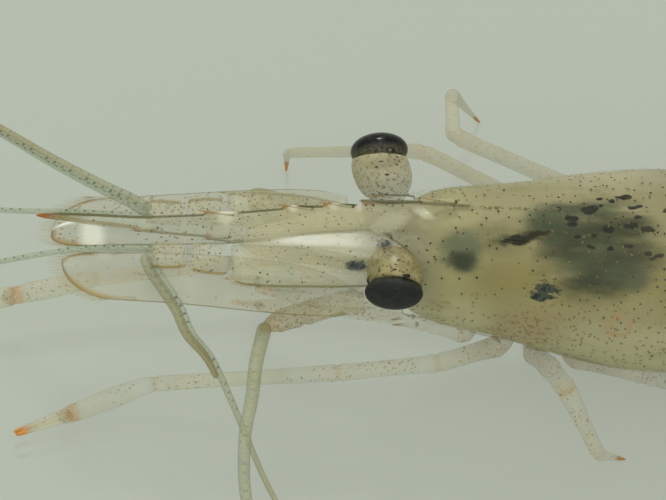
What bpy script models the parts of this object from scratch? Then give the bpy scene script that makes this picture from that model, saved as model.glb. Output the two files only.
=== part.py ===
# A ghost shrimp at life size, standing on its walking legs with its tail fan on the ground.
# Sizes and places below are in millimetres and are turned into metres when a mesh is made.
# The head points to -X, up is +Z, and the animal's left side is -Y.
# X is measured from the edge of the eye socket and Z from the ground.

import math

import bmesh
import bpy
from mathutils import Vector

MM = 0.001
GAP = 0.1                       # room left between neighbouring pieces
BOX_CENTRE = Vector((5.66, -5.9, 0.0))   # middle of the whole animal's box, on the ground
SIDES = {"L": -1, "R": 1}       # which way each side lies along Y
SHARP_ANGLE = math.radians(55)  # edges sharper than this stay crisp

# Trunk and head
BACK = 6.3                      # height of the ridge of the back over the ground
SHELL_LENGTH = 9.7              # carapace, from the eye socket to its hind edge
SHELL_FACETS = 20

# stations along the carapace: place as a share of its length, half width, height above the
# widest level, depth below it, and how full the upper and the lower half are
SHELL_SECTIONS = (
    (0.000, 1.62, 2.30, 1.15, 1.45, 2.3),
    (0.045, 1.72, 2.30, 1.42, 1.6, 2.4),
    (0.145, 1.78, 2.30, 1.75, 1.9, 2.5),
    (0.300, 1.98, 2.30, 1.93, 2.0, 2.5),
    (0.500, 2.45, 2.45, 2.06, 2.0, 2.5),
    (0.660, 2.68, 2.50, 2.10, 2.0, 2.5),
    (0.850, 2.65, 2.50, 2.08, 2.0, 2.5),
    (0.960, 2.48, 2.42, 2.02, 2.0, 2.5),
    (1.000, 2.34, 2.33, 1.95, 2.0, 2.5),
)
CREST_HEIGHT = 0.20             # low keel that carries the horn's last tooth
CREST_END = 1.9
SHELL_SPINE = 0.30              # spine beside each eye socket, on the front edge
FRONT_INSET = 0.88              # rim of the front face, from which the spines grow

# Horn, seen from the side: distance ahead of the socket, upper edge and lower edge below the back
HORN_EDGES = (
    (0.12, 0.00, 1.17),
    (1.00, 0.04, 1.15),
    (2.20, 0.14, 1.30),
    (3.20, 0.28, 1.55),
    (4.40, 0.50, 1.77),
    (5.10, 0.61, 1.60),
    (6.10, 0.71, 1.50),
    (7.00, 0.79, 1.30),
    (8.20, 0.75, 1.12),
    (9.00, 0.72, 1.00),
    (9.55, 0.76, 0.93),
    (9.68, 0.81, 0.88),
)
HORN_UPPER_TEETH = (1.20, 2.23, 3.27, 5.30)   # how far ahead each tooth's tip lies
HORN_LOWER_TEETH = (5.15, 7.05)
TOOTH_RISE = 0.16
TOOTH_RUN = 0.85                # length over which a tooth blends into the edge
TOOTH_FACE = 0.07               # run of the steep face in front of a tip
LOWER_TOOTH_RISE = 0.10
HORN_HALF_WIDTH = 0.27
HORN_EDGE_HALF_WIDTH = 0.14
HORN_RIDGE = 0.35               # how far down the blade its ridge runs

# Eyes: the pair leans a little, the left one lower and looking down
STALK_ROOT = Vector((-0.66, 0.46, 5.52))
EYE_SEAT = Vector((-0.56, 1.72, 5.55))
EYE_LEAN = 0.26                 # how far one eye sits above the middle level and the other below
EYE_SWING = 0.08                # how far one eye is swung forward and the other back
EYE_TILT = math.radians(17)
EYE_RADIUS = 0.74
EYE_DEPTH = 0.64
EYE_ARC = math.radians(80)      # how much of a quarter turn the dome has
EYE_STEPS = 5
EYE_FACETS = 12
LOOK_AHEAD = 0.06               # how far forward each eye points
STALK_RADII = (0.34, 0.35, 0.46, 0.64, 0.73)
STALK_RIM = 0.22                # end of the stalk that stands square to the eye

# Feelers
FEELER_RADIUS = 0.26
SCALE_LEVEL = 4.12
SCALE_SETBACK = {"L": 0.25, "R": 0.0}
PLATE_THICKNESS = 0.5
SCALE_OUTLINE = (               # ahead of the socket, inner edge, outer edge
    (1.30, 1.35, 1.95),
    (2.00, 0.78, 2.08),
    (3.00, 0.42, 2.08),
    (4.20, 0.24, 1.97),
    (6.00, 0.14, 1.79),
    (7.60, 0.12, 1.67),
    (8.25, 0.13, 1.60),
    (8.40, 0.14, 1.38),
    (8.85, 0.18, 1.12),
    (9.12, 0.32, 0.78),
)

# Hind body: six rings, then the tail fan
ABDOMEN_SECTIONS = (            # hind end of each ring, half width, top of the back, height, depth
    (9.90, 2.26, 6.20, 2.25, 1.90),
    (11.90, 2.30, 6.30, 2.30, 2.00),
    (15.20, 2.28, 6.35, 2.35, 2.10),
    (18.90, 2.02, 5.90, 2.15, 1.95),
    (21.40, 1.78, 5.10, 1.85, 1.70),
    (23.70, 1.52, 4.30, 1.55, 1.45),
    (28.00, 1.05, 2.60, 1.00, 0.95),
)
ABDOMEN_FACETS = 18
TAIL_ROOT = Vector((28.1, 0.0, 1.75))
TELSON_LENGTH = 5.3
FAN_TIP_LEVEL = 0.2


def clay(name, colour, roughness):
    """A plain material for one piece of the animal."""
    material = bpy.data.materials.new(name)
    material.use_nodes = True
    shader = material.node_tree.nodes["Principled BSDF"]
    shader.inputs["Base Color"].default_value = (*colour, 1.0)
    shader.inputs["Roughness"].default_value = roughness
    shader.inputs["Metallic"].default_value = 0.0
    return material


COLOURS = {
    "shell": (0.36, 0.34, 0.20),
    "clear": (0.45, 0.46, 0.33),
    "limb": (0.44, 0.44, 0.31),
    "feeler": (0.35, 0.33, 0.19),
    "stalk": (0.42, 0.36, 0.18),
    "eye": (0.012, 0.014, 0.013),
}
ROUGHNESS = {"shell": 0.25, "clear": 0.2, "limb": 0.35, "feeler": 0.4, "stalk": 0.35, "eye": 0.08}


def add_object(name, bm, finish):
    """Turn a mesh in millimetres into a finished object in metres."""
    bmesh.ops.recalc_face_normals(bm, faces=bm.faces)
    for vert in bm.verts:
        vert.co = (vert.co - BOX_CENTRE) * MM
    mesh = bpy.data.meshes.new(name)
    bm.to_mesh(mesh)
    bm.free()
    mesh.shade_smooth()
    mesh.set_sharp_from_angle(angle=SHARP_ANGLE)
    mesh.materials.append(clay(name, COLOURS[finish], ROUGHNESS[finish]))
    piece = bpy.data.objects.new(name, mesh)
    bpy.context.scene.collection.objects.link(piece)
    return piece


def loft(name, rings, finish):
    """Skin a row of rings that have the same number of points, with a flat cap at each end."""
    bm = bmesh.new()
    loops = [[bm.verts.new(point) for point in ring] for ring in rings]
    bridge(bm, loops)
    bm.faces.new(loops[0])
    bm.faces.new(loops[-1])
    return add_object(name, bm, finish)


def bridge(bm, loops):
    """Join each loop of points to the next one with four-sided faces."""
    for near, far in zip(loops, loops[1:]):
        count = len(near)
        for i in range(count):
            j = (i + 1) % count
            bm.faces.new((near[i], near[j], far[j], far[i]))


def smooth_path(points, steps):
    """Points on a smooth curve through the given ones, with a number of steps for each span."""
    points = [Vector(p) for p in points]
    ends = [2 * points[0] - points[1], *points, 2 * points[-1] - points[-2]]
    path = []
    for a, b, c, d in zip(ends, ends[1:], ends[2:], ends[3:]):
        for k in range(steps):
            t = k / steps
            path.append(
                0.5 * (2 * b + (c - a) * t + (2 * a - 5 * b + 4 * c - d) * t**2
                       + (3 * b - a - 3 * c + d) * t**3)
            )
    return [*path, points[-1]]


def along(table, place, column):
    """Read one column of a table of stations at any place, in straight steps."""
    for low, high in zip(table, table[1:]):
        if place <= high[0]:
            share = (place - low[0]) / (high[0] - low[0])
            return low[column] + share * (high[column] - low[column])
    return table[-1][column]


def tube_rings(path, radii, facets):
    """Rings square to a path, turned no more than the path itself turns."""
    path = [Vector(p) for p in path]
    rings = []
    normal = Vector((0.0, 0.0, 1.0))
    for i, point in enumerate(path):
        ahead = path[min(i + 1, len(path) - 1)] - path[max(i - 1, 0)]
        ahead.normalize()
        normal = (normal - ahead * normal.dot(ahead)).normalized()
        across = ahead.cross(normal)
        ring = []
        for k in range(facets):
            angle = math.tau * (k + 0.5) / facets
            ring.append(point + radii[i] * (math.cos(angle) * across + math.sin(angle) * normal))
        rings.append(ring)
    return rings


def tube(name, path, radii, facets, finish):
    return loft(name, tube_rings(path, radii, facets), finish)


def section(x, level, half_width, height, depth, full_top, full_bottom, facets):
    """A rounded body section: an oval whose upper and lower halves differ."""
    ring = []
    for k in range(facets):
        angle = math.tau * k / facets
        c, s = math.cos(angle), math.sin(angle)
        full = full_top if s > 0 else full_bottom
        reach = height if s > 0 else depth
        y = half_width * math.copysign(abs(c) ** (2 / full), c)
        z = level + reach * math.copysign(abs(s) ** (2 / full), s)
        ring.append(Vector((x, y, z)))
    return ring


def carapace():
    """Shield of head and thorax, with its keel and the spine beside each eye socket."""
    rings = []
    for share, half_width, height, depth, full_top, full_bottom in SHELL_SECTIONS:
        x = share * SHELL_LENGTH
        level = BACK - height
        ring = section(x, level, half_width, height, depth, full_top, full_bottom, SHELL_FACETS)
        top = ring[SHELL_FACETS // 4]
        if 0 < x < CREST_END:
            top.z += CREST_HEIGHT * (1 - x / CREST_END)
        if share == 0:
            hub = Vector((x, 0.0, level))
            rings.append([hub.lerp(point, FRONT_INSET) for point in ring])
            ring[0].x -= SHELL_SPINE
            ring[SHELL_FACETS // 2].x -= SHELL_SPINE
        rings.append(ring)
    return loft("carapace", rings, "shell")


def tooth_lift(ahead, tips, rise):
    """How far the teeth lift an edge: a long back that ends in a steep face at each tip."""
    lift = 0.0
    for tip in tips:
        behind = tip - ahead
        if 0 <= behind <= TOOTH_RUN:
            lift = max(lift, rise * (1 - behind / TOOTH_RUN))
    return lift


def rostrum():
    """The horn: a narrow blade, thickest along a ridge, with teeth on both edges."""
    stations = {edge[0] for edge in HORN_EDGES}
    for tip in HORN_UPPER_TEETH + HORN_LOWER_TEETH:
        stations |= {tip, tip + TOOTH_FACE}
    rings = []
    for ahead in sorted(stations):
        top = BACK - along(HORN_EDGES, ahead, 1)
        bottom = BACK - along(HORN_EDGES, ahead, 2)
        top += tooth_lift(ahead, HORN_UPPER_TEETH, TOOTH_RISE)
        bottom -= tooth_lift(ahead, HORN_LOWER_TEETH, LOWER_TOOTH_RISE)
        ridge = top - HORN_RIDGE * (top - bottom)
        rings.append([
            Vector((-ahead, y, z)) for y, z in (
                (HORN_EDGE_HALF_WIDTH, top), (HORN_HALF_WIDTH, ridge),
                (HORN_EDGE_HALF_WIDTH, bottom), (-HORN_EDGE_HALF_WIDTH, bottom),
                (-HORN_HALF_WIDTH, ridge), (-HORN_EDGE_HALF_WIDTH, top),
            )
        ])
    return loft("rostrum", rings, "clear")


def eye_frame(side):
    """Seat of one eye and the direction it looks in."""
    seat = Vector((EYE_SEAT.x - side * EYE_SWING, side * EYE_SEAT.y, EYE_SEAT.z + side * EYE_LEAN))
    look = Vector((-LOOK_AHEAD, side * math.cos(EYE_TILT), side * math.sin(EYE_TILT)))
    return seat, look.normalized()


def eyestalk(letter, side):
    seat, look = eye_frame(side)
    root = Vector((STALK_ROOT.x, side * STALK_ROOT.y, STALK_ROOT.z))
    root.z += side * EYE_LEAN * STALK_ROOT.y / EYE_SEAT.y
    count = len(STALK_RADII) - 1
    path = [root.lerp(seat, k / count) for k in range(count)]
    path[-1] = seat - look * STALK_RIM
    path.append(seat)
    tube(f"eyestalk_{letter}", path, STALK_RADII, EYE_FACETS, "stalk")


def eye(letter, side):
    """The dark cornea: a deep dome on the end of its stalk."""
    seat, look = eye_frame(side)
    path, radii = [], []
    for k in range(EYE_STEPS):
        turn = EYE_ARC * k / (EYE_STEPS - 1)
        path.append(seat + look * (GAP + EYE_DEPTH * math.sin(turn)))
        radii.append(EYE_RADIUS * math.cos(turn))
    tube(f"eye_{letter}", path, radii, EYE_FACETS, "eye")


# a plate's cross-section: share of the way across, and share of its full thickness there
PLATE_RIMS = ((0.0, 0.5), (0.14, 1.0), (0.5, 1.0), (0.86, 1.0), (1.0, 0.5))


def blade(name, stations, finish, place):
    """A thin plate: each station gives the distance out, both edges and the middle's level."""
    half = PLATE_THICKNESS / 2
    rings = []
    for out, edge_a, edge_b, level in stations:
        width = edge_b - edge_a
        upper = [(edge_a + f * width, level + t * half) for f, t in PLATE_RIMS]
        lower = [(edge_a + f * width, level - t * half) for f, t in reversed(PLATE_RIMS)]
        ring = [place(out, across, z) for across, z in upper + lower]
        for point in ring:
            point.z = max(point.z, 0.0)
        rings.append(ring)
    return loft(name, rings, finish)


def antenna_scale(letter, side):
    """The broad clear plate beside the horn, with a spine at its outer front corner."""
    setback = SCALE_SETBACK[letter]
    stations = [(out - setback, inner, outer, SCALE_LEVEL) for out, inner, outer in SCALE_OUTLINE]
    blade(f"antenna_scale_{letter}", stations, "clear",
          lambda out, across, z: Vector((-out, side * across, z)))


# Joints under the first feelers: ahead, inner edge, outer edge, level, half thickness
ANTENNULE_BASE = (
    (0.20, 0.50, 1.15, 4.42, 0.24),
    (1.35, 0.45, 1.35, 4.66, 0.20),
    (2.10, 0.37, 1.56, 4.78, 0.32),
    (3.40, 0.37, 1.62, 4.84, 0.35),
    (4.20, 0.37, 1.60, 4.86, 0.34),
    (4.65, 0.38, 1.46, 4.86, 0.33),
    (4.80, 0.38, 1.28, 4.87, 0.33),
    (5.65, 0.38, 1.22, 4.88, 0.33),
    (5.85, 0.40, 1.12, 4.88, 0.30),
    (6.60, 0.42, 1.10, 4.88, 0.28),
)
ANTENNULE_FACETS = 10


def antennule_base(letter, side):
    """Three flattened joints that carry the first feelers, side by side under the horn."""
    rings = []
    for ahead, inner, outer, level, half in ANTENNULE_BASE:
        ring = []
        for k in range(ANTENNULE_FACETS):
            angle = math.tau * k / ANTENNULE_FACETS
            y = (inner + outer) / 2 + (outer - inner) / 2 * math.cos(angle)
            ring.append(Vector((-ahead, side * y, level + half * math.sin(angle))))
        rings.append(ring)
    loft(f"antennule_base_{letter}", rings, "clear")


# Routes of the feelers, each point (ahead of the socket, out to the side, height)
ANTENNULE_OUTER = {
    "L": ((6.94, 1.14, 4.86), (6.74, 1.50, 4.76), (6.20, 2.05, 4.52), (5.58, 2.66, 4.00),
          (5.00, 3.00, 3.40), (4.38, 3.91, 2.60), (3.43, 5.81, 1.60), (2.20, 8.00, 1.10),
          (0.60, 10.20, 0.85)),
    "R": ((6.80, 1.10, 4.96), (7.70, 1.24, 5.00), (8.86, 1.76, 5.03), (10.40, 2.81, 5.10),
          (13.20, 4.80, 5.20), (16.40, 7.60, 4.90)),
}
ANTENNULE_INNER = {
    "L": ((6.72, 0.54, 4.86), (8.40, 0.64, 4.92), (10.60, 1.13, 4.90), (13.80, 2.10, 5.00),
          (17.40, 3.80, 4.90), (20.80, 6.20, 4.50)),
    "R": ((6.72, 0.52, 4.86), (8.60, 0.52, 4.95), (10.50, 0.48, 5.00), (13.80, 0.40, 5.30),
          (17.80, 0.90, 5.30), (22.00, 2.20, 4.90)),
}
ANTENNA_BASE = ((0.45, 1.42, 3.42), (1.20, 1.52, 3.42), (2.20, 1.62, 3.45), (3.00, 1.72, 3.47),
                (3.55, 1.92, 3.47))
ANTENNA_BASE_RADII = (0.34, 0.36, 0.35, 0.33, 0.28)
ANTENNA = {
    "L": ((3.74, 2.20, 3.48), (3.86, 3.10, 3.50), (4.01, 4.13, 3.30), (4.19, 5.14, 2.80),
          (4.10, 6.60, 2.00), (3.40, 9.20, 1.25), (1.60, 12.30, 0.80), (-2.00, 15.80, 0.55),
          (-6.80, 18.30, 0.45), (-12.40, 19.90, 0.42), (-18.40, 20.40, 0.40),
          (-24.00, 19.80, 0.40)),
    "R": ((3.74, 2.28, 3.40), (3.40, 3.00, 2.70), (2.00, 3.45, 1.70), (-0.50, 3.35, 0.95),
          (-4.50, 3.30, 0.60), (-9.50, 3.80, 0.45), (-15.00, 5.10, 0.42),
          (-21.00, 7.00, 0.40), (-27.50, 8.60, 0.40)),
}
ANTENNA_LENGTHS = 3             # solids that each long feeler is divided into
ROUTE_STEPS = 3                 # stretches between two points of a route
FEELER_FACETS = 6
LIMB_FACETS = 8


def feeler_route(route, side):
    return smooth_path([(-ahead, side * out, height) for ahead, out, height in route], ROUTE_STEPS)


def feeler(name, path):
    tube(name, path, [FEELER_RADIUS] * len(path), FEELER_FACETS, "feeler")


def feelers(letter, side):
    for kind, routes in (("outer", ANTENNULE_OUTER), ("inner", ANTENNULE_INNER)):
        feeler(f"antennule_{kind}_{letter}", feeler_route(routes[letter], side))
    base = [(-ahead, side * out, height) for ahead, out, height in ANTENNA_BASE]
    tube(f"antenna_base_{letter}", base, ANTENNA_BASE_RADII, LIMB_FACETS, "limb")
    whip = feeler_route(ANTENNA[letter], side)
    share = (len(whip) - 1) / ANTENNA_LENGTHS
    for part in range(ANTENNA_LENGTHS):
        path = whip[round(part * share):round((part + 1) * share) + 1]
        if part:
            path[0] = path[0] + GAP * (path[1] - path[0]).normalized()
        feeler(f"antenna_{part + 1}_{letter}", path)


# Limbs: joints from the hip outwards as (x, out to the side, height, radius)
MOUTH_LIMB = ((-0.05, 0.74, 2.60, 0.25), (-1.30, 0.68, 2.75, 0.28), (-2.60, 0.56, 2.95, 0.26),
              (-3.60, 0.46, 3.12, 0.25))
FIRST_LEG = ((2.00, 0.78, 1.80, 0.28), (1.00, 0.50, 1.85, 0.26), (-0.40, 0.37, 2.02, 0.25),
             (-2.50, 0.36, 2.20, 0.25))
SECOND_LEG = {
    "L": ((2.95, 1.00, 1.68, 0.32), (1.20, 1.75, 1.80, 0.28), (-1.40, 1.95, 1.55, 0.28),
          (-6.30, 1.90, 0.80, 0.29)),
    "R": ((2.95, 1.00, 1.68, 0.32), (1.10, 1.85, 1.75, 0.28), (-2.20, 1.95, 1.50, 0.28),
          (-7.80, 1.15, 1.25, 0.29)),
}
CLAWS = {                       # palm's end, fingers' tip, how deep the palm is
    "leg1_L": ((-3.50, 0.37, 2.32), (-4.25, 0.37, 2.42), 0.28),
    "leg1_R": ((-3.50, 0.37, 2.32), (-4.25, 0.37, 2.42), 0.28),
    "leg2_L": ((-8.40, 2.75, 0.52), (-9.85, 3.32, 0.42), 0.34),
    "leg2_R": ((-9.95, 0.60, 1.12), (-11.45, 0.32, 1.00), 0.34),
}
WRIST_RADIUS = 0.24
PALM_PLACES = ((0.12, 0.0), (0.30, 1.0), (0.70, 1.0), (1.0, 0.85))   # along the palm, fullness
FINGER_SPREAD = 0.55            # how far the finger tips part, as a share of the palm's depth
FINGER_TAPER = 0.55
TINE_STATIONS = (0.35, 0.7, 1.0)   # rings along a finger or a blade of a swimming leg
WALKING_LEGS = {
    "leg3_L": ((3.85, 0.98, 1.38, 0.34), (4.05, 2.20, 2.35, 0.30), (4.33, 3.38, 3.00, 0.28),
               (5.38, 4.14, 1.20, 0.26), (6.10, 3.55, 0.00, 0.25)),
    "leg4_L": ((4.85, 1.10, 1.40, 0.32), (6.90, 1.40, 1.05, 0.28), (8.60, 3.50, 2.95, 0.28),
               (10.00, 4.90, 1.15, 0.26), (10.55, 5.20, 0.00, 0.25)),
    "leg5_L": ((5.85, 0.45, 1.38, 0.30), (8.30, 0.85, 1.05, 0.28), (11.20, 3.60, 2.85, 0.28),
               (13.30, 4.50, 1.10, 0.26), (13.90, 4.70, 0.00, 0.25)),
    "leg3_R": ((3.85, 0.98, 1.50, 0.34), (4.00, 1.95, 1.75, 0.30), (4.20, 2.60, 2.75, 0.29),
               (0.94, 4.00, 3.50, 0.28),
               (-2.28, 5.85, 0.90, 0.26), (-2.20, 5.95, 0.00, 0.25)),
    "leg4_R": ((4.85, 1.00, 1.40, 0.32), (5.20, 2.20, 1.70, 0.30), (5.50, 3.02, 3.00, 0.29),
               (1.80, 4.50, 3.55, 0.28),
               (2.10, 7.00, 2.20, 0.26), (3.20, 7.80, 0.00, 0.25)),
    "leg5_R": ((5.85, 0.45, 1.38, 0.30), (6.70, 2.30, 1.50, 0.29), (7.40, 3.10, 2.30, 0.28),
               (9.30, 4.70, 3.20, 0.28),
               (11.30, 6.00, 1.10, 0.26), (11.90, 6.25, 0.00, 0.25)),
}
JOINT_NECK = 0.9                # a limb is this much thinner halfway between two joints
JOINT_EASE = 0.22               # how much of each segment the bend at a joint takes up


def limb_rings(joints, side):
    """Rings of a jointed limb: straight segments with a short bend at each joint."""
    places = [Vector((x, side * out, height)) for x, out, height, _ in joints]
    radii = [joint[3] for joint in joints]
    path, sizes = [places[0]], [radii[0]]
    for i in range(1, len(places)):
        start, end = places[i - 1], places[i]
        path.append(start.lerp(end, 0.5))
        sizes.append(JOINT_NECK * (radii[i - 1] + radii[i]) / 2)
        if i < len(places) - 1:
            beyond = places[i + 1]
            before, after = end.lerp(start, JOINT_EASE), end.lerp(beyond, JOINT_EASE)
            path += [before, (4 * end + before + after) / 6, after]
            sizes += [radii[i]] * 3
        else:
            path.append(end)
            sizes.append(radii[i])
    return tube_rings(path, sizes, LIMB_FACETS)


def walking_leg(name, joints, side):
    """A walking leg whose last ring is laid flat on the ground as its foot."""
    rings = limb_rings(joints, side)
    for ring in rings:
        for point in ring:
            point.z = max(point.z, 0.0)
    x, out, _, radius = joints[-1]
    middle = Vector((x, side * out, 0.0))
    for k, point in enumerate(rings[-1]):
        point.z = 0.0
        rings[-1][k] = middle + radius * (point - middle).normalized()
    loft(name, rings, "limb")


def split_end(bm, loop, tips, taper):
    """Carry the two halves of a limb's last loop on as two fingers or blades."""
    half = len(loop) // 2
    halves = (loop[:half + 1], [*loop[half:], loop[0]])
    for root, tip in zip(halves, tips):
        centre = sum((v.co for v in root), Vector()) / len(root)
        loops = [root]
        for share in TINE_STATIONS:
            middle = centre.lerp(tip, share)
            size = 1 + share * share * (taper - 1)
            loops.append([bm.verts.new(middle + size * (v.co - centre)) for v in root])
        bridge(bm, loops)
        bm.faces.new(loops[-1])


def forked(name, rings, tips, taper):
    """A limb of rings whose far end is split in two."""
    bm = bmesh.new()
    loops = [[bm.verts.new(point) for point in ring] for ring in rings]
    bridge(bm, loops)
    bm.faces.new(loops[0])
    split_end(bm, loops[-1], tips, taper)
    add_object(name, bm, "limb")


def claw_leg(name, joints, side):
    """A leg that ends in a palm and two slim fingers."""
    palm, tip, depth = CLAWS[name]
    palm = Vector((palm[0], side * palm[1], palm[2]))
    tip = Vector((tip[0], side * tip[1], tip[2]))
    wrist = Vector((joints[-1][0], side * joints[-1][1], joints[-1][2]))
    path = [wrist, *(wrist.lerp(palm, share) for share, _ in PALM_PLACES)]
    sizes = [WRIST_RADIUS]
    sizes += [WRIST_RADIUS + full * (depth - WRIST_RADIUS) for _, full in PALM_PLACES]
    hand = tube_rings(path, sizes, LIMB_FACETS)
    last = hand[-1]
    middle = sum(last, Vector()) / len(last)
    spread = FINGER_SPREAD * (last[LIMB_FACETS // 4] - middle)
    forked(name, limb_rings(joints, side) + hand[1:], (tip + spread, tip - spread), FINGER_TAPER)


def limbs(letter, side):
    loft(f"maxilliped_{letter}", limb_rings(MOUTH_LIMB, side), "limb")
    claw_leg(f"leg1_{letter}", FIRST_LEG, side)
    claw_leg(f"leg2_{letter}", SECOND_LEG[letter], side)
    for number in (3, 4, 5):
        name = f"leg{number}_{letter}"
        walking_leg(name, WALKING_LEGS[name], side)


# along one ring of the hind body: place, swell of its back and swell of its side flaps
RING_SWELL = ((0.0, 0.96, 0.84), (0.1, 1.0, 0.93), (0.5, 1.03, 1.08), (0.9, 1.0, 0.93),
              (1.0, 0.96, 0.84))
RING_FULLNESS = (2.1, 2.6)      # of the upper and the lower half


def abdomen():
    """Six rings of the hind body, each a little apart from the next."""
    for number, (front, back) in enumerate(zip(ABDOMEN_SECTIONS, ABDOMEN_SECTIONS[1:]), 1):
        start, end = front[0] + GAP / 2, back[0] - GAP / 2
        rings = []
        for share, swell, flap in RING_SWELL:
            x = start + share * (end - start)
            _, width, top, height, depth = (a + share * (b - a) for a, b in zip(front, back))
            rings.append(section(x, top - height, width * swell, height * swell, depth * flap,
                                 *RING_FULLNESS, ABDOMEN_FACETS))
        loft(f"abdomen_{number}", rings, "shell")


SWIMMERET_LENGTHS = (1.9, 2.5, 2.5, 2.3, 1.9)
SWIMMERET_OUT = 0.78            # from the middle line to each stem
SWIMMERET_PLACE = 0.45          # along its ring of the body
SWIMMERET_RADII = (0.29, 0.32, 0.34)
SWIMMERET_FACETS = 6
SWIMMERET_DROP = 0.42           # from the underside of its ring to the top of the stem
STEM_SHARE = 0.28               # the stem's share of the whole length
STEM_FALL = 0.22                # share of its height that the stem comes down
BLADE_TIP_LEVEL = 0.35
BLADE_SPREAD = 0.3
BLADE_TAPER = 0.6


def swimmeret(number, letter, side):
    """A swimming leg under one ring: a short stem that splits into two blades."""
    front, back = ABDOMEN_SECTIONS[number - 1], ABDOMEN_SECTIONS[number]
    x, _, top, height, depth = (a + SWIMMERET_PLACE * (b - a) for a, b in zip(front, back))
    length = SWIMMERET_LENGTHS[number - 1]
    high = Vector((x, side * SWIMMERET_OUT, top - height - depth * RING_SWELL[2][2] - SWIMMERET_DROP))
    low = high + Vector((STEM_SHARE * length, 0.0, -STEM_FALL * high.z))
    rings = tube_rings([high, high.lerp(low, 0.5), low], SWIMMERET_RADII, SWIMMERET_FACETS)
    tip = low + Vector(((1 - STEM_SHARE) * length, 0.0, BLADE_TIP_LEVEL - low.z))
    spread = Vector((0.0, BLADE_SPREAD, 0.0))
    forked(f"pleopod_{number}_{letter}", rings, (tip + spread, tip - spread), BLADE_TAPER)


def fan_blade(name, root, turn, slope, outline, finish):
    """One plate of the tail fan, sloping from its root down to the ground."""
    heading = Vector((math.cos(turn), math.sin(turn), 0.0))
    aside = Vector((-math.sin(turn), math.cos(turn), 0.0))

    def place(out, across, rise):
        point = root + heading * out + aside * across
        point.z = max(root.z - out * slope, FAN_TIP_LEVEL) + rise
        return point

    blade(name, [(out, a, b, 0.0) for out, a, b in outline], finish, place)


# Outlines of the tail plates: distance out, one edge, the other edge
TELSON = ((0.0, -0.62, 0.62), (0.8, -0.60, 0.60), (3.0, -0.48, 0.48), (4.6, -0.34, 0.34),
          (5.1, -0.26, 0.26), (TELSON_LENGTH, -0.12, 0.12))
INNER_UROPOD = ((0.0, -0.16, 0.16), (0.7, -0.32, 0.38), (2.2, -0.62, 0.56), (3.5, -0.80, 0.74),
                (4.4, -0.72, 0.66), (4.9, -0.42, 0.40), (5.1, -0.14, 0.14))
OUTER_UROPOD = ((0.0, -0.18, 0.18), (0.8, -0.38, 0.52), (2.4, -0.70, 0.76), (3.9, -0.98, 0.88),
                (4.8, -0.96, 0.82), (5.3, -0.66, 0.58), (5.55, -0.24, 0.20))
# kind: outline, root beside the telson's (back, out, up), how far it is spread
UROPODS = {
    "inner": (INNER_UROPOD, (0.0, 0.86, -0.15), math.radians(10)),
    "outer": (OUTER_UROPOD, (-0.05, 1.42, -0.55), math.radians(31)),
}
FAN_FLAT_FROM = 0.83            # share of a plate's length at which it reaches the ground


def tail_fan():
    """The telson and the two pairs of plates beside it, their tips flat on the ground."""
    for name, outline, offset, turn, side in (
        ("telson", TELSON, (0.0, 0.0, 0.0), 0.0, 1),
        *((f"uropod_{kind}_{letter}", *shape, side)
          for kind, shape in UROPODS.items() for letter, side in SIDES.items()),
    ):
        root = TAIL_ROOT + Vector((offset[0], side * offset[1], offset[2]))
        edges = [(out, side * a, side * b) for out, a, b in outline]
        slope = (root.z - FAN_TIP_LEVEL) / (FAN_FLAT_FROM * outline[-1][0])
        fan_blade(name, root, side * turn, slope, edges, "shell" if name == "telson" else "clear")


def main():
    for old in list(bpy.data.objects):
        bpy.data.objects.remove(old, do_unlink=True)
    carapace()
    rostrum()
    abdomen()
    tail_fan()
    for letter, side in SIDES.items():
        eyestalk(letter, side)
        eye(letter, side)
        antennule_base(letter, side)
        antenna_scale(letter, side)
        feelers(letter, side)
        limbs(letter, side)
        for number in range(1, 6):
            swimmeret(number, letter, side)


main()
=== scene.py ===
import math
import random

import bmesh
import bpy
from mathutils import Matrix, Vector


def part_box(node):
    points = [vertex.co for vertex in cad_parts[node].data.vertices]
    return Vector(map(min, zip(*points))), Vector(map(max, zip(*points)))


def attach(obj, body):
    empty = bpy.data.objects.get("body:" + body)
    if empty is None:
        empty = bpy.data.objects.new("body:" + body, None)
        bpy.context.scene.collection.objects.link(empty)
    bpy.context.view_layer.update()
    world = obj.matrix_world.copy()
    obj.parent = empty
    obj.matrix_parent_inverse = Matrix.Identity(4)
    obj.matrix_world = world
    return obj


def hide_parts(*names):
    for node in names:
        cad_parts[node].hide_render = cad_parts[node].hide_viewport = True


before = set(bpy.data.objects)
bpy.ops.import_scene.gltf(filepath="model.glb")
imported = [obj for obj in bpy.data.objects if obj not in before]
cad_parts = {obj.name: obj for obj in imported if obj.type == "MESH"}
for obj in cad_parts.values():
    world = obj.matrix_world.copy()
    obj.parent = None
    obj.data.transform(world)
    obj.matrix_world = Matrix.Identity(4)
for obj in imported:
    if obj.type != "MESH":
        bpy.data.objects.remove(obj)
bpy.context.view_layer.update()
mm = 0.001
print("frame loaded")

# home is the shrimp's own zero: the edge of the eye socket, on the middle line, at ground level.
# Lengths below are in mm from there; the head points to -x and the left side is -y.
socketSpine = 0.3
shellLow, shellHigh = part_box("carapace")
home = Vector((shellLow.x + socketSpine * mm, (shellLow.y + shellHigh.y) / 2, 0.0))
sides = {"L": -1, "R": 1}
ridgeLevel = shellHigh.z / mm - 0.154   # top of the back without its keel


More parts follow.
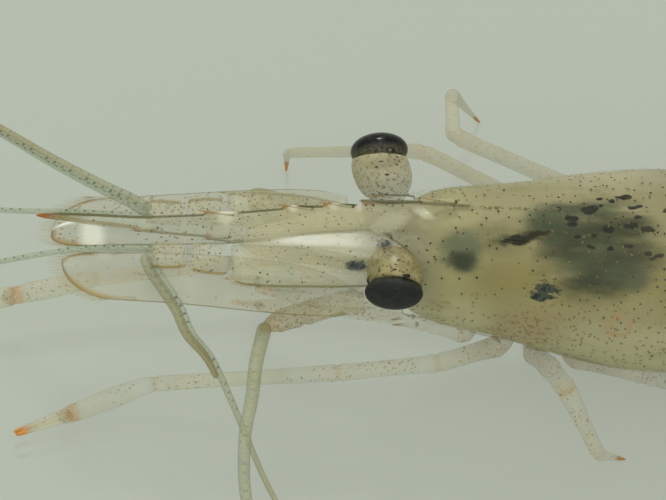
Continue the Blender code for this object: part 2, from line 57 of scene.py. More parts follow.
class Wire:
    # one output socket that can stand in sums
    def __init__(self, paint, socket):
        self.paint, self.socket = paint, socket

    def maths(self, operation, first, second=0.0):
        return self.paint.add("ShaderNodeMath", {"operation": operation}, {0: first, 1: second})

    def __add__(self, other):
        return self.maths("ADD", self, other)

    def __sub__(self, other):
        return self.maths("SUBTRACT", self, other)

    def __rsub__(self, other):
        return self.maths("SUBTRACT", other, self)

    def __mul__(self, other):
        return self.maths("MULTIPLY", self, other)

    def __truediv__(self, other):
        return self.maths("DIVIDE", self, other)

    def __abs__(self):
        return self.maths("ABSOLUTE", self)

    __radd__ = __add__
    __rmul__ = __mul__

    def most(self, *others):    # the greatest of them all
        greatest = self
        for other in others:
            greatest = self.maths("MAXIMUM", greatest, other)
        return greatest

    def wave(self):
        return self.maths("SINE", self)

    def fract(self):
        return self.maths("FRACT", self)

    # 0 up to low, 1 from high on; low above high turns it round
    def ease(self, low, high):
        return self.paint.add("ShaderNodeMapRange", {"interpolation_type": "SMOOTHSTEP"},
                              {"Value": self, "From Min": low, "From Max": high})

    def other(self, name):
        return Wire(self.paint, self.socket.node.outputs[name])


class Paint:
    # one material; gloss holds the sockets that are the same all over
    def __init__(self, name, **gloss):
        self.look = bpy.data.materials.new(name)
        self.look.use_nodes = True
        self.tree = self.look.node_tree
        self.shader = self.tree.nodes["Principled BSDF"]
        for key, value in gloss.items():
            self.shader.inputs[key.replace("_", " ")].default_value = value
        spot = self.add("ShaderNodeTexCoord", {}, {}, "Object")
        moved = self.vector("SUBTRACT", spot, home)
        self.place = self.add("ShaderNodeVectorMath", {"operation": "SCALE"}, {0: moved, "Scale": 1 / mm})
        split = self.add("ShaderNodeSeparateXYZ", {}, {0: self.place})
        self.x, self.y, self.z = split, split.other("Y"), split.other("Z")

    def add(self, kind, settings, values, out=0):
        node = self.tree.nodes.new(kind)
        for key, value in settings.items():
            setattr(node, key, value)
        for key, value in values.items():
            if isinstance(value, Wire):
                self.tree.links.new(value.socket, node.inputs[key])
            else:
                node.inputs[key].default_value = value
        return Wire(self, node.outputs[out])

    def vector(self, operation, first, second):
        return self.add("ShaderNodeVectorMath", {"operation": operation}, {0: first, 1: second})

    def moved(self, *way):
        return self.vector("ADD", self.place, way)

    def drawn(self, *way):
        return self.vector("MULTIPLY", self.place, way)

    def mix(self, first, second, share):    # a colour is a socket or (red, green, blue)
        colours = [tint(*colour) if isinstance(colour, tuple) else colour for colour in (first, second)]
        return self.add("ShaderNodeMix", {"data_type": "RGBA"}, {6: colours[0], 7: colours[1], 0: share}, 2)

    def over(self, base, *layers):    # more colours laid over the first, each by its share
        for colour, share in layers:
            base = self.mix(base, colour, share)
        return base

    def made(self, name):    # a value laid down when the mesh was made
        return self.add("ShaderNodeAttribute", {"attribute_name": name}, {}, "Fac")

    def cloud(self, size, detail=3.0, place=None):
        return self.add("ShaderNodeTexNoise", {}, {"Vector": place or self.place, "Scale": 1 / size,
                                                   "Detail": detail})

    # round marks about apart from each other; a number for each mark is in the Color output
    def dots(self, apart, radius, place=None, soft=0.35):
        cell = self.add("ShaderNodeTexVoronoi", {}, {"Vector": place or self.place, "Scale": 1 / apart})
        share = radius / apart
        return cell.ease(share, share * (1 - soft)), cell

    def oval(self, across, up, centre, size):    # 0 in the middle of an oval, 1 on its outline
        a, b = (across - centre[0]) / size[0], (up - centre[1]) / size[1]
        return a * a + b * b

    # an oval mark at one place, 1 in its middle
    def mark(self, across, up, centre, size, soft=0.5, ragged=None):
        gap = self.oval(across, up, centre, size)
        if ragged:
            gap = gap + ragged
        return gap.ease(1 + soft, 1 - soft)

    def bump(self, height, depth, strength):
        return self.add("ShaderNodeBump", {}, {"Height": height, "Distance": depth * mm,
                                               "Strength": strength})

    def feed(self, **values):
        for key, value in values.items():
            self.tree.links.new(value.socket, self.shader.inputs[key.replace("_", " ")])
        return self.look

    # the usual end of a look: colour, how solid it is, how rough, and the bump on it
    def done(self, base, solid, rough, height, depth, strength):
        return self.feed(Base_Color=base, Alpha=solid, Roughness=rough,
                         Normal=self.bump(height, depth, strength))


def tint(red, green, blue):    # screen colour, 0 to 255, as a linear one
    linear = [c / 3294.6 if c < 10.3 else ((c / 255 + 0.055) / 1.055) ** 2.4 for c in (red, green, blue)]
    return (*linear, 1.0)


def addPiece(mesh, name, look, nodes, thick=0.0):
    mesh.materials.append(look)
    made = bpy.data.objects.new(name, mesh)
    bpy.context.scene.collection.objects.link(made)
    if thick:
        wall = made.modifiers.new("wall", "SOLIDIFY")
        wall.thickness, wall.offset = thick * mm, -1.0
    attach(made, "root")
    if nodes:
        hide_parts(*nodes)


class Skin:
    # gathers points, faces and the values that paint reads, then makes one piece of them
    def __init__(self):
        self.points, self.faces = [], []
        self.values = {"along": [], "rim": [], "tip": [], "turn": []}

    # skins rows of points; values are given as functions of the row and the place in the row
    def loft(self, rings, closed=True, **values):
        first, count = len(self.points), len(rings[0])
        for i, ring in enumerate(rings):
            self.points += ring
            for name, numbers in self.values.items():
                given = values.get(name)
                numbers += [given(i, k) if given else 0.0 for k in range(count)]
        for i in range(len(rings) - 1):
            near = first + i * count
            for k in range(count if closed else count - 1):
                after = (k + 1) % count
                self.faces.append((near + k, near + after, near + count + after, near + count + k))
        if closed:
            last = first + (len(rings) - 1) * count
            self.faces.append(tuple(range(first, first + count)))
            self.faces.append(tuple(range(last, last + count)))
        return self

    def piece(self, name, look, slot, nodes=(), thick=0.0):
        mesh = bpy.data.meshes.new(name)
        mesh.from_pydata([home + point * mm for point in self.points], [], self.faces)
        for key, numbers in self.values.items():
            mesh.attributes.new(key, "FLOAT", "POINT").data.foreach_set("value", numbers)
        form = bmesh.new()
        form.from_mesh(mesh)
        bmesh.ops.recalc_face_normals(form, faces=form.faces)
        form.to_mesh(mesh)
        form.free()
        mesh.shade_smooth()
        addPiece(mesh, name, look, nodes, thick)


def smoothPath(points, steps):    # a curve through points, with a number of steps between two
    points = [Vector(p) for p in points]
    line = [2 * points[0] - points[1], *points, 2 * points[-1] - points[-2]]
    path = []
    for a, b, c, d in zip(line, line[1:], line[2:], line[3:]):
        for k in range(steps):
            t = k / steps
            path.append(0.5 * (2 * b + (c - a) * t + (2 * a - 5 * b + 4 * c - d) * t**2
                               + (3 * b - a - 3 * c + d) * t**3))
    return [*path, points[-1]]


def readTable(table, place):    # the other columns of a table at a place between its rows, eased
    if place <= table[0][0]:
        return table[0][1:]
    for i in range(len(table) - 1):
        low, high = table[i], table[i + 1]
        if place <= high[0]:
            before, after = table[max(i - 1, 0)], table[min(i + 2, len(table) - 1)]
            run = high[0] - low[0]
            t = (place - low[0]) / run
            values = []
            for a, b, c, d in zip(before[1:], low[1:], high[1:], after[1:]):
                rise = (c - a) / max(high[0] - before[0], 1e-6) * run
                fall = (d - b) / max(after[0] - low[0], 1e-6) * run
                values.append(b + (c - b) * t * t * (3 - 2 * t) + t * (1 - t) * ((1 - t) * rise - t * fall))
            return values
    return table[-1][1:]


def lengths(path):    # distance along a path at each of its points
    run = [0.0]
    for a, b in zip(path, path[1:]):
        run.append(run[-1] + (b - a).length)
    return run


def nearest(point, *others):    # distance to the nearest of some points
    return min((point - other).length for other in others)


def onSide(side, point):    # a point given as (x, out, height), on one side of the body
    return Vector((point[0], side * point[1], point[2]))


# a round rod on a path, with round ends if domed; size gives its radius at each share of the length
def tube(skin, path, size, facets=14, tip=None, domed=True):
    path = [Vector(p) for p in path]
    run = lengths(path)
    total = run[-1]
    spots = []
    for i, point in enumerate(path):
        before, after = path[max(i - 1, 0)], path[min(i + 1, len(path) - 1)]
        ahead = ((point - before).normalized() + (after - point).normalized()).normalized()
        spots.append((point, ahead, size(run[i] / total), run[i]))
    if domed:
        (start, ahead, radius, _), (end, onward, girth, _) = spots[0], spots[-1]
        turns = [math.radians(a) for a in (84, 62, 36)]
        front = [(start - ahead * radius * math.sin(a), ahead, radius * math.cos(a), 0.0) for a in turns]
        turns.reverse()
        back = [(end + onward * girth * math.sin(a), onward, girth * math.cos(a), total) for a in turns]
        spots = front + spots + back
    normal = Vector((0.0, 0.0, 1.0))
    if abs(spots[0][1].z) > 0.9:    # for a rod that stands upright
        normal = Vector((1.0, 0.0, 0.0))
    rings = []
    for middle, ahead, radius, _ in spots:
        normal = (normal - ahead * normal.dot(ahead)).normalized()
        across = ahead.cross(normal)
        ring = []
        for k in range(facets):
            angle = math.tau * k / facets
            point = middle + radius * (math.cos(angle) * across + math.sin(angle) * normal)
            point.z = max(point.z, 0.004)    # stays above the ground
            ring.append(point)
        rings.append(ring)
    skin.loft(rings, along=lambda i, k: spots[i][3], rim=lambda i, k: spots[i][3] / total,
              turn=lambda i, k: math.sin(math.tau * k / facets),
              tip=(lambda i, k: tip(spots[i][3] / total)) if tip else None)
    return skin


def thorn(skin, base, point, radius, coloured):    # a fine spine, tinted towards its point
    path = smoothPath([base, Vector(base).lerp(Vector(point), 0.5), point], 6)
    return tube(skin, path, lambda s: radius * (1 - s) ** 0.7 + 0.006, 8,
                tip=lambda s: max(0.0, (s - coloured) / (1 - coloured)))


# camera and light
view = {
    "azimuth": -12.0, "elevation": 52.0, "roll": 11.0,    # degrees
    "lens": 400.0, "sensor": 36.0, "width": 17.25,        # the width it takes in, mm
    "aim": (-1.947, -0.815, 5.361),                       # the spot in the middle of its view
}
lights = {
    "key": {"from": (-1.4, 8.8, 11.6), "away": 600.0, "wide": 120.0, "watts": 1.15,
            "colour": (1.0, 1.0, 0.95)},
    "fill": {"from": (-2.0, -6.0, 8.5), "away": 600.0, "wide": 1200.0, "watts": 2.1,
             "colour": (0.97, 1.0, 0.97)},
}
lampsAim = (3.0, 0.0, 3.0)    # the spot that both lamps point at
surround = {"colour": (1.0, 1.0, 0.98), "strength": 0.53}
ground = {
    "colours": ((118, 123, 113), (115, 121, 111)), "glow": (181, 188, 175), "glowing": 0.63, "half": 0.6,
}


def placeCamera():
    a, e, r = (math.radians(view[key]) for key in ("azimuth", "elevation", "roll"))
    back = Vector((math.sin(a) * math.cos(e), -math.cos(a) * math.cos(e), math.sin(e)))
    level = Vector((math.cos(a), math.sin(a), 0.0))
    upright = back.cross(level)
    right = level * math.cos(r) + upright * math.sin(r)
    up = back.cross(right)
    camera = bpy.data.objects.new("camera", bpy.data.cameras.new("camera"))
    camera.data.lens, camera.data.sensor_width = view["lens"], view["sensor"]
    camera.data.clip_start, camera.data.clip_end = 0.005, 10.0
    distance = view["width"] * view["lens"] / view["sensor"]
    place = home + (Vector(view["aim"]) + back * distance) * mm
    rows = [[right[i], up[i], back[i], place[i]] for i in range(3)]
    camera.matrix_world = Matrix([*rows, [0.0, 0.0, 0.0, 1.0]])
    bpy.context.scene.collection.objects.link(camera)
    bpy.context.scene.camera = camera


def placeLights():
    centre = home + Vector(lampsAim) * mm
    for name, light in lights.items():
        lamp = bpy.data.lights.new(name, "AREA")
        lamp.shape, lamp.size = "DISK", light["wide"] * mm
        lamp.energy, lamp.color = light["watts"], light["colour"]
        holder = bpy.data.objects.new(name, lamp)
        direction = Vector(light["from"]).normalized()
        holder.location = centre + direction * light["away"] * mm
        holder.rotation_euler = direction.to_track_quat("Z", "Y").to_euler()
        bpy.context.scene.collection.objects.link(holder)
    world = bpy.data.worlds.new("surround")
    world.use_nodes = True
    sky = world.node_tree.nodes["Background"]
    sky.inputs["Color"].default_value = (*surround["colour"], 1.0)
    sky.inputs["Strength"].default_value = surround["strength"]
    bpy.context.scene.world = world
    bpy.context.scene.view_settings.view_transform = "Standard"


def layFloor():
    paint = Paint("floorLook", Roughness=0.9, Specular_IOR_Level=0.0)
    paint.shader.inputs["Emission Color"].default_value = tint(*ground["glow"])    # a tray lit from below
    paint.shader.inputs["Emission Strength"].default_value = ground["glowing"]
    paint.feed(Base_Color=paint.mix(*ground["colours"], paint.cloud(9.0, 2.0)))
    half = ground["half"]
    mesh = bpy.data.meshes.new("floor")
    corners = [(-half, -half, 0), (half, -half, 0), (half, half, 0), (-half, half, 0)]
    mesh.from_pydata(corners, [], [(0, 1, 2, 3)])
    mesh.materials.append(paint.look)
    floor = bpy.data.objects.new("floor", mesh)
    bpy.context.scene.collection.objects.link(floor)


placeCamera()
placeLights()
layFloor()
print("camera, light and floor placed")


# shield of the head and thorax
shield = {
    "length": 9.7, "thick": 0.045, "keel": 0.17, "keelEnd": 2.3, "keelHalf": 0.09,
    "reach": 139.0,    # degrees from the ridge down to the free lower edge
    "rows": 120, "columns": 150,
    # share of the length: half width, height over the widest level, depth below it, fullness of each half
    "sections": (
        (0.0, 1.62, 2.3, 1.15, 1.45, 2.3), (0.045, 1.72, 2.3, 1.42, 1.6, 2.4),
        (0.145, 1.78, 2.3, 1.75, 1.9, 2.5), (0.3, 1.98, 2.3, 1.93, 2.0, 2.5),
        (0.5, 2.52, 2.45, 2.06, 2.0, 2.5), (0.66, 2.79, 2.5, 2.1, 2.0, 2.5),
        (0.85, 2.77, 2.5, 2.08, 2.0, 2.5), (0.96, 2.56, 2.42, 2.02, 2.0, 2.5),
        (1.0, 2.46, 2.38, 1.98, 2.0, 2.5),
    ),
    # degrees from the ridge: where the front edge lies
    "front": ((0, -1.3), (20, -1.2), (26, -1.08), (30, -0.84), (34, -0.48), (39, -0.16), (46, 0.14),
              (56, 0.34), (67, 0.36), (77, 0.2), (86, 0.02), (95, -0.02), (103, 0.04), (110, 0.2),
              (120, 0.75), (130, 1.6), (140, 2.4)),
    "spines": (((0.3, 1.6, 3.62), (-0.26, 1.67, 3.55)), ((0.45, 1.58, 3.26), (-0.2, 1.64, 3.29))),
}


def ovalPoint(x, level, half, height, depth, fullTop, fullBottom, turn):    # turn from the ridge, degrees
    c, s = math.sin(math.radians(turn)), math.cos(math.radians(turn))
    full, reach = (fullTop, height) if s > 0 else (fullBottom, depth)
    return Vector((x, half * math.copysign(abs(c) ** (2 / full), c),
                   level + reach * math.copysign(abs(s) ** (2 / full), s)))


def ovalRing(columns, *row):
    return [ovalPoint(*row, 360 * k / columns) for k in range(columns)]


def spread(count, reach, dense=0.62):    # turns from -reach to reach, closer together at the ridge
    for k in range(count + 1):
        w = 2 * k / count - 1
        yield reach * (dense * w + (1 - dense) * w**3)


def shieldPoint(share, turn):
    half, height, depth, fullTop, fullBottom = readTable(shield["sections"], share)
    start = readTable(shield["front"], abs(turn))[0]
    x = start * max(0.0, 1 - share / 0.3) ** 2 + share * shield["length"]
    point = ovalPoint(x, ridgeLevel - height, half, height, depth, fullTop, fullBottom, turn)
    if x < shield["keelEnd"]:
        fade = min(1.0, 1 - x / shield["keelEnd"])
        point.z += shield["keel"] * fade * math.exp(-(point.y / shield["keelHalf"]) ** 2)
    return point


def makeShield(look):
    rings = []
    for i in range(shield["rows"] + 1):
        share = (i / shield["rows"]) ** 1.25    # rows lie closer together at the front
        rings.append([shieldPoint(share, turn) for turn in spread(shield["columns"], shield["reach"])])

    def rim(i, k):    # how near a point is to the free edges
        return nearest(rings[i][k], rings[0][k], rings[-1][k], rings[i][0], rings[i][-1])

    skin = Skin().loft(rings, closed=False, rim=rim)
    skin.piece("shield", look, "shell", ("carapace",), thick=shield["thick"])


def shellLook():
    paint = Paint("shieldLook", IOR=1.45, Specular_IOR_Level=0.6)
    black, cell = paint.dots(0.225, 0.036, soft=0.25)
    rust, _ = paint.dots(0.32, 0.045, paint.moved(5.3, 2.1, 7.7))
    x, flank = flankOf(paint, 0.12)
    tipped = paint.made("tip")
    edge = paint.made("rim").ease(0.05, 0.015) * abs(paint.y).ease(0.45, 0.62)
    # the ridge runs on behind the horn as a fine line, then as dots
    dashes = paint.cloud(0.13, 2.0).ease(0.48, 0.56).most(paint.x.ease(1.9, 1.3))
    ridge = abs(paint.y).ease(0.045, 0.02) * paint.z.ease(6.0, 6.2) * paint.x.ease(4.1, 3.6) * dashes
    # painted highlights: pale, more solid glare patches behind the last tooth and over the left eye
    paintedGlare = paint.mark(x, flank + 0.35 * (x - 0.3), (0.34, -0.18), (0.34, 0.17), 0.98)
    paintedGlareOverEye = paint.mark(x, flank - 0.4 * (x + 0.6), (-0.56, -0.5), (0.66, 0.34), 0.98)
    paintedGlare = (paintedGlare * paintedGlare * 0.9).most(paintedGlareOverEye * paintedGlareOverEye * 0.62) * paint.z.ease(4.8, 5.3)
    base = paint.over(
        paint.mix((180, 176, 142), (164, 160, 118), paint.cloud(2.4).ease(0.35, 0.65)),
        ((142, 116, 56), edge * 0.9),
        ((132, 110, 54), rust * 0.8),
        (paint.mix((26, 24, 20), (88, 62, 30), cell.other("Color").ease(0.5, 0.7)), black),
        ((88, 84, 36), ridge * 0.9),
        # painted highlight patches
        ((240, 241, 208), paintedGlare),
        ((150, 124, 58), tipped),
    )
    # the dots are weaker in places, low on the flank and beyond the ridge
    black = black * (0.5 + 0.5 * paint.cloud(1.9).ease(0.2, 0.45)) * flank.ease(1.45, 0.9)
    black = black * (0.5 + 0.5 * flank.ease(-2.6, -1.5))
    solid = black.most(rust * 0.38, edge * (0.4 + 0.4 * paint.z.ease(4.6, 5.2)), ridge * 0.7, tipped * 0.8,
                       paintedGlare * 0.36, 0.035)
    grain = paint.cloud(0.16, 2.0) * 0.4 + paint.cloud(1.2, 2.0)
    return paint.done(base, solid, 0.15 + 0.12 * paint.cloud(0.6), grain, 0.02, 0.5)


# the milky flesh seen through the clear shell, from behind the eyes to the tail
flesh = {
    "inset": 0.98, "rows": 260, "columns": 96,
    "start": -1.1, "end": 27.9, "rounding": (2.4, 0.8),    # rounding: how far back each end is rounded
    "lift": 0.28, "liftEnd": 3.2,    # the front of the chest is shallower than the shell
    # x: half width, level of the back, height, depth below the widest level
    "hind": ((9.9, 2.26, 6.2, 2.25, 1.9), (11.9, 2.3, 6.3, 2.3, 2.0), (15.2, 2.28, 6.35, 2.35, 2.1),
             (18.9, 2.02, 5.9, 2.15, 1.95), (21.4, 1.78, 5.1, 1.85, 1.7), (23.7, 1.52, 4.3, 1.55, 1.45),
             (28.0, 1.05, 2.6, 1.0, 0.95)),
}
hindFullness = (2.1, 2.5)    # of the upper and lower half of each ring


def fleshRow(x):
    if x < shield["length"]:
        half, height, depth, fullTop, fullBottom = readTable(shield["sections"], x / shield["length"])
        return half, ridgeLevel, height, depth, fullTop, fullBottom
    return *readTable(flesh["hind"], x), *hindFullness


def makeFlesh(look):
    start, end = flesh["start"], flesh["end"]
    rings = []
    for i in range(flesh["rows"] + 1):
        x = start + (end - start) * i / flesh["rows"]
        half, top, height, depth, fullTop, fullBottom = fleshRow(x)
        ahead = min(1.0, (x - start) / flesh["rounding"][0])
        behind = min(1.0, (end - x) / flesh["rounding"][1])
        inset = flesh["inset"]
        inset *= math.sqrt(max(0.02, 1 - (1 - ahead) ** 2)) * math.sqrt(max(0.02, 1 - (1 - behind) ** 2))
        lift = flesh["lift"] * max(0.0, 1 - x / flesh["liftEnd"])
        rings.append(ovalRing(flesh["columns"], x, top - height, half * inset, height * inset,
                              depth * inset * (1 - lift), fullTop, fullBottom))
    Skin().loft(rings, along=lambda i, k: rings[i][k].x).piece("flesh", look, "shell")


organs = {
    "slant": (0.7963, 0.6044),    # the way down the side is counted: how much sideways, how much in height
    "stomach": {"at": (4.94, -0.96), "size": (1.46, 1.16)},
    "cloud": {"at": (3.75, -0.42), "size": (0.75, 0.5)},
    "tail": {"at": (5.85, -1.78), "size": (0.55, 0.34)},
    "haze": {"at": (2.45, -0.8), "size": (0.8, 0.42)},
    "streak": {"at": (2.95, -0.78), "size": (0.72, 0.13), "slope": 0.16},
    "frontPatch": {"at": (1.36, -1.18), "size": (0.5, 0.56)},
    "frontSpot": {"at": (1.38, -1.42), "size": (0.36, 0.27)},
    "hips": {"at": (3.25, -3.15), "size": (0.95, 0.55)},
    "sidePatch": {"at": (3.57, -2.15), "size": (0.34, 0.22)},
    "ring": {"at": (5.53, -3.02), "size": (0.3, 0.28)},
    # blue-black cells over the stomach: place along, place down the side, half length, half height
    "cells": ((4.73, 0.01, 0.21, 0.08), (4.26, -0.26, 0.15, 0.07), (4.23, -0.4, 0.15, 0.05),
              (3.92, -0.01, 0.05, 0.05), (4.08, -0.2, 0.06, 0.05), (5.06, 0.29, 0.08, 0.03),
              (5.34, 0.21, 0.06, 0.05), (5.66, 0.35, 0.22, 0.04), (5.97, 0.12, 0.17, 0.04),
              (5.94, -0.16, 0.09, 0.04), (5.17, -0.5, 0.13, 0.08), (5.79, -0.38, 0.15, 0.07),
              (6.21, -0.47, 0.16, 0.07), (4.37, -0.71, 0.08, 0.05), (4.83, -0.68, 0.06, 0.04),
              (5.19, -1.03, 0.11, 0.05), (5.71, -0.89, 0.09, 0.03), (4.7, -0.98, 0.09, 0.03),
              (6.19, -1.08, 0.11, 0.04), (6.33, -1.2, 0.08, 0.04), (6.46, -1.16, 0.09, 0.04),
              (5.06, 0.08, 0.07, 0.03), (6.8, 0.05, 0.15, 0.05), (7.1, -0.6, 0.14, 0.06),
              (7.55, -0.2, 0.12, 0.05)),
}


def flankOf(paint, bend):    # the place along the body, and down its side from the ridge
    warp = paint.add("ShaderNodeTexNoise", {}, {"Vector": paint.place, "Scale": 2.1, "Detail": 4.0}, "Color")
    bent = paint.vector("ADD", paint.place, paint.vector("MULTIPLY", warp, (bend, bend, bend)))
    split = paint.add("ShaderNodeSeparateXYZ", {}, {0: bent})
    half = bend / 2
    y, z = split.other("Y") - half, split.other("Z") - half - ridgeLevel
    sideways, upright = organs["slant"]
    return split - half, sideways * y + upright * z


def fleshLook():
    paint = Paint("fleshLook", Specular_IOR_Level=0.12)
    x, flank = flankOf(paint, 0.3)
    drawn = paint.drawn(0.35, 1.0, 1.0)    # streaks run along the body
    ragged = (paint.cloud(0.45, 6.0, drawn) - 0.5) * 1.9
    fine = (paint.cloud(0.12, 5.0, drawn) - 0.5) * 5.5
    seen = paint.z.ease(4.0, 4.7).most(paint.y.ease(0.6, 0.0))    # not again low on the right side

    def patch(name, soft, rough=ragged):
        organ = organs[name]
        slid = flank - organ.get("slope", 0.0) * (x - organ["at"][0])
        return paint.mark(x, slid, organ["at"], organ["size"], soft, rough) * seen

    hips, ring = patch("hips", 0.9), organs["ring"]
    outline = abs(paint.oval(x, flank, ring["at"], ring["size"]) - 0.8 + fine * 0.3).ease(0.5, 0.1)
    cells = [paint.mark(x, flank, (along, down), (long * 1.15, high * 1.3), 0.3, fine * 0.12)
             for along, down, long, high in organs["cells"]]
    rust, _ = paint.dots(0.2, 0.05, paint.moved(9.3, 4.4, 1.2))
    gut = abs(paint.y + 0.1).ease(0.34, 0.12) * paint.x.ease(8.5, 10.5) * paint.z.ease(4.0, 5.0)
    bands = (paint.x * 5.2 + paint.cloud(1.0) * 3.0).wave()
    base = paint.over(
        paint.mix((160, 154, 114), (151, 141, 90), flank.ease(-0.4, -1.8)),
        ((172, 166, 124), flank.ease(-1.9, -3.2)),
        ((180, 175, 128), paint.x.ease(2.4, 0.4) * 0.9),
        # painted light: the lower front, the lower flank and the rounded front end are lightened to offset
        # the shade the lamps leave there
        ((206, 200, 158), paint.x.ease(2.6, 1.6) * flank.ease(-2.2, -3.0) * 0.6),
        ((216, 210, 166), flank.ease(-2.8, -3.5) * 0.52),
        ((226, 220, 176), paint.x.ease(1.0, -0.2) * 0.85),
        ((184, 180, 150), flank.ease(0.3, 1.2)),
        ((134, 132, 90), paint.cloud(1.2, 4.0, drawn).ease(0.5, 0.72) * 0.55),
        ((186, 178, 142), paint.cloud(0.9, 4.0, drawn).ease(0.56, 0.74) * 0.5),
        ((70, 82, 56), patch("stomach", 0.95) * 0.96),
        ((26, 34, 22), patch("stomach", 0.6) * paint.cloud(0.5, 4.0, drawn).ease(0.3, 0.6) * 0.7),
        ((54, 68, 48), patch("cloud", 0.9) * 0.9),
        ((62, 74, 54), patch("tail", 0.9) * 0.7),
        ((104, 102, 62), patch("haze", 0.95) * 0.55),
        ((78, 82, 48), patch("streak", 1.6) * 0.8),
        ((16, 18, 10), patch("streak", 0.9, fine)),
        ((84, 98, 74), patch("frontPatch", 0.95) * 0.75),
        ((34, 42, 34), patch("frontSpot", 0.95) * 0.8),
        ((48, 68, 64), patch("sidePatch", 0.5, fine) * 0.9),
        ((18, 26, 30), patch("sidePatch", 0.3, fine) * paint.cloud(0.1, 3.0).ease(0.45, 0.6) * 0.8),
        ((166, 148, 106), hips * 0.55),
        ((148, 112, 58), hips * paint.cloud(0.11, 3.0).ease(0.55, 0.62) * 0.65),
        ((196, 146, 92), outline * 0.45 * seen),
        ((8, 12, 22), cells[0].most(*cells[1:]) * seen),
        ((112, 108, 72), paint.x.ease(5.4, 7.6) * flank.ease(-3.0, -1.5) * 0.4),
        ((136, 110, 58), rust * flank.ease(-2.0, -2.8) * 0.7),
        ((96, 92, 58), gut * 0.6),
        ((190, 186, 158), bands.ease(0.2, 1.0) * paint.x.ease(9.0, 11.0) * 0.25),
    )
    clear = 0.14 * paint.x.ease(9.5, 14.0)    # the hind body is clearer
    solid = (0.97 - clear) * paint.x.ease(-1.0, 1.4) * (0.8 + 0.2 * flank.ease(-3.6, -2.2))
    return paint.done(base, solid, 0.42 + 0.1 * paint.cloud(0.8), paint.cloud(0.5), 0.05, 0.4)


# clear flesh under the root of the horn, between the eyes
brow = {
    # distance ahead: half width, level of the top, level of the underside
    "rings": ((-0.9, 0.98, 5.32, 4.6), (-0.3, 1.05, 5.33, 4.4), (0.4, 1.02, 5.31, 4.3),
              (0.9, 0.96, 5.26, 4.3), (1.5, 0.86, 5.18, 4.3), (2.2, 0.74, 5.08, 4.3), (2.8, 0.62, 4.99, 4.3),
              (3.4, 0.5, 4.88, 4.3), (3.9, 0.36, 4.76, 4.35), (4.2, 0.14, 4.64, 4.5)),
    "length": 5.1, "fullness": (6.0, 2.4), "rows": 60, "columns": 96,
}


def makeBrow(look):
    rings = []
    for i in range(brow["rows"] + 1):
        ahead = brow["rings"][0][0] + brow["length"] * i / brow["rows"]
        half, top, under = readTable(brow["rings"], ahead)
        tall = (top - under) / 2
        rings.append(ovalRing(brow["columns"], -ahead, top - tall, half, tall, tall, *brow["fullness"]))
    Skin().loft(rings, along=lambda i, k: -rings[i][k].x).piece("brow", look, "clear")


def speckle(paint, base):    # two blue-grey blots beside the left eye, with black grains
    x, flank = flankOf(paint, 0.16)
    fine = (paint.cloud(0.1, 5.0) - 0.5) * 4.5
    blots = paint.mark(x, flank, (-0.52, -1.07), (0.12, 0.17), 0.7, fine)
    blots = blots.most(paint.mark(x, flank, (-1.3, -1.62), (0.25, 0.13), 0.7, fine))
    grains = blots * paint.cloud(0.09, 3.0).ease(0.5, 0.62)
    return paint.over(base, ((84, 94, 92), blots), ((28, 32, 40), grains)), blots


def browLook():
    paint = Paint("browLook", IOR=1.5, Specular_IOR_Level=1.0)
    black, _ = paint.dots(0.17, 0.03)
    base = paint.mix((220, 213, 172), (210, 210, 176), paint.cloud(0.8).ease(0.4, 0.6))
    base, blots = speckle(paint, base)
    solid = (0.36 + 0.1 * paint.cloud(0.7)).most(black * 0.9, blots)
    dry = paint.y.ease(-0.15, 0.0).most(paint.x.ease(-1.6, -0.3) * 0.6)    # only the left side is wet
    rough = 0.17 + 0.4 * dry.most(blots) + 0.06 * paint.cloud(0.6)
    return paint.done(paint.mix(base, (30, 30, 26), black), solid, rough, paint.cloud(0.7), 0.012, 0.3)


# the horn between the eyes
horn = {
    # distance ahead: drop of the upper edge, drop of the lower edge
    "edges": ((-1.6, -0.03, 0.9), (-0.5, -0.16, 1.05), (0.12, -0.12, 1.17), (1.0, 0.02, 1.15),
              (2.2, 0.14, 1.3), (3.2, 0.28, 1.55), (4.4, 0.5, 1.77), (5.1, 0.61, 1.6),
              (6.1, 0.71, 1.5), (7.0, 0.79, 1.3), (8.2, 0.75, 1.1), (9.0, 0.74, 0.97),
              (9.3, 0.76, 0.94), (9.5, 0.785, 0.905), (9.64, 0.83, 0.858)),
    "upper": (-0.42, 1.2, 2.23, 3.27, 5.3), "lower": (5.15, 7.05),    # tips of the teeth
    "run": 1.0, "rise": 0.15, "lowerRise": 0.09,    # how far back a tooth starts, and how high it stands
    # colour of a tooth: how far back it goes, over what length it fades, how far in from the edge;
    # colour of the tip: where it starts, and over what length it grows
    "tint": {"upper": (0.42, 0.45, 0.09), "lower": (0.3, 0.3, 0.1), "tip": (9.0, 0.5)},
    # slender point of a tooth: how far back and in it starts, how far on and up it ends, radius, colour
    "points": {"upper": (0.75, -0.12, 0.16, 0.015, 0.05, 0.45), "lower": (0.6, 0.12, 0.1, 0.0, 0.035, 0.55)},
    # share of the way down: half width
    "profile": ((0.0, 0.018), (0.05, 0.04), (0.14, 0.075), (0.26, 0.12), (0.38, 0.17), (0.5, 0.21),
                (0.6, 0.22), (0.7, 0.2), (0.82, 0.14), (0.93, 0.065), (1.0, 0.018)),
    "rows": 260, "start": -0.3, "slimming": 2.2,    # slimming: length over which its end gets thinner
}


def hornEdge(ahead):
    top, bottom = readTable(horn["edges"], ahead)
    top, bottom = ridgeLevel - top, ridgeLevel - bottom
    for tip in (*horn["upper"], *horn["lower"]):
        behind = tip - ahead
        if 0 <= behind <= horn["run"]:
            lift = (1 - behind / horn["run"]) ** 1.4
            if tip in horn["upper"]:
                top += horn["rise"] * lift
            else:
                bottom -= horn["lowerRise"] * lift
    return top, bottom


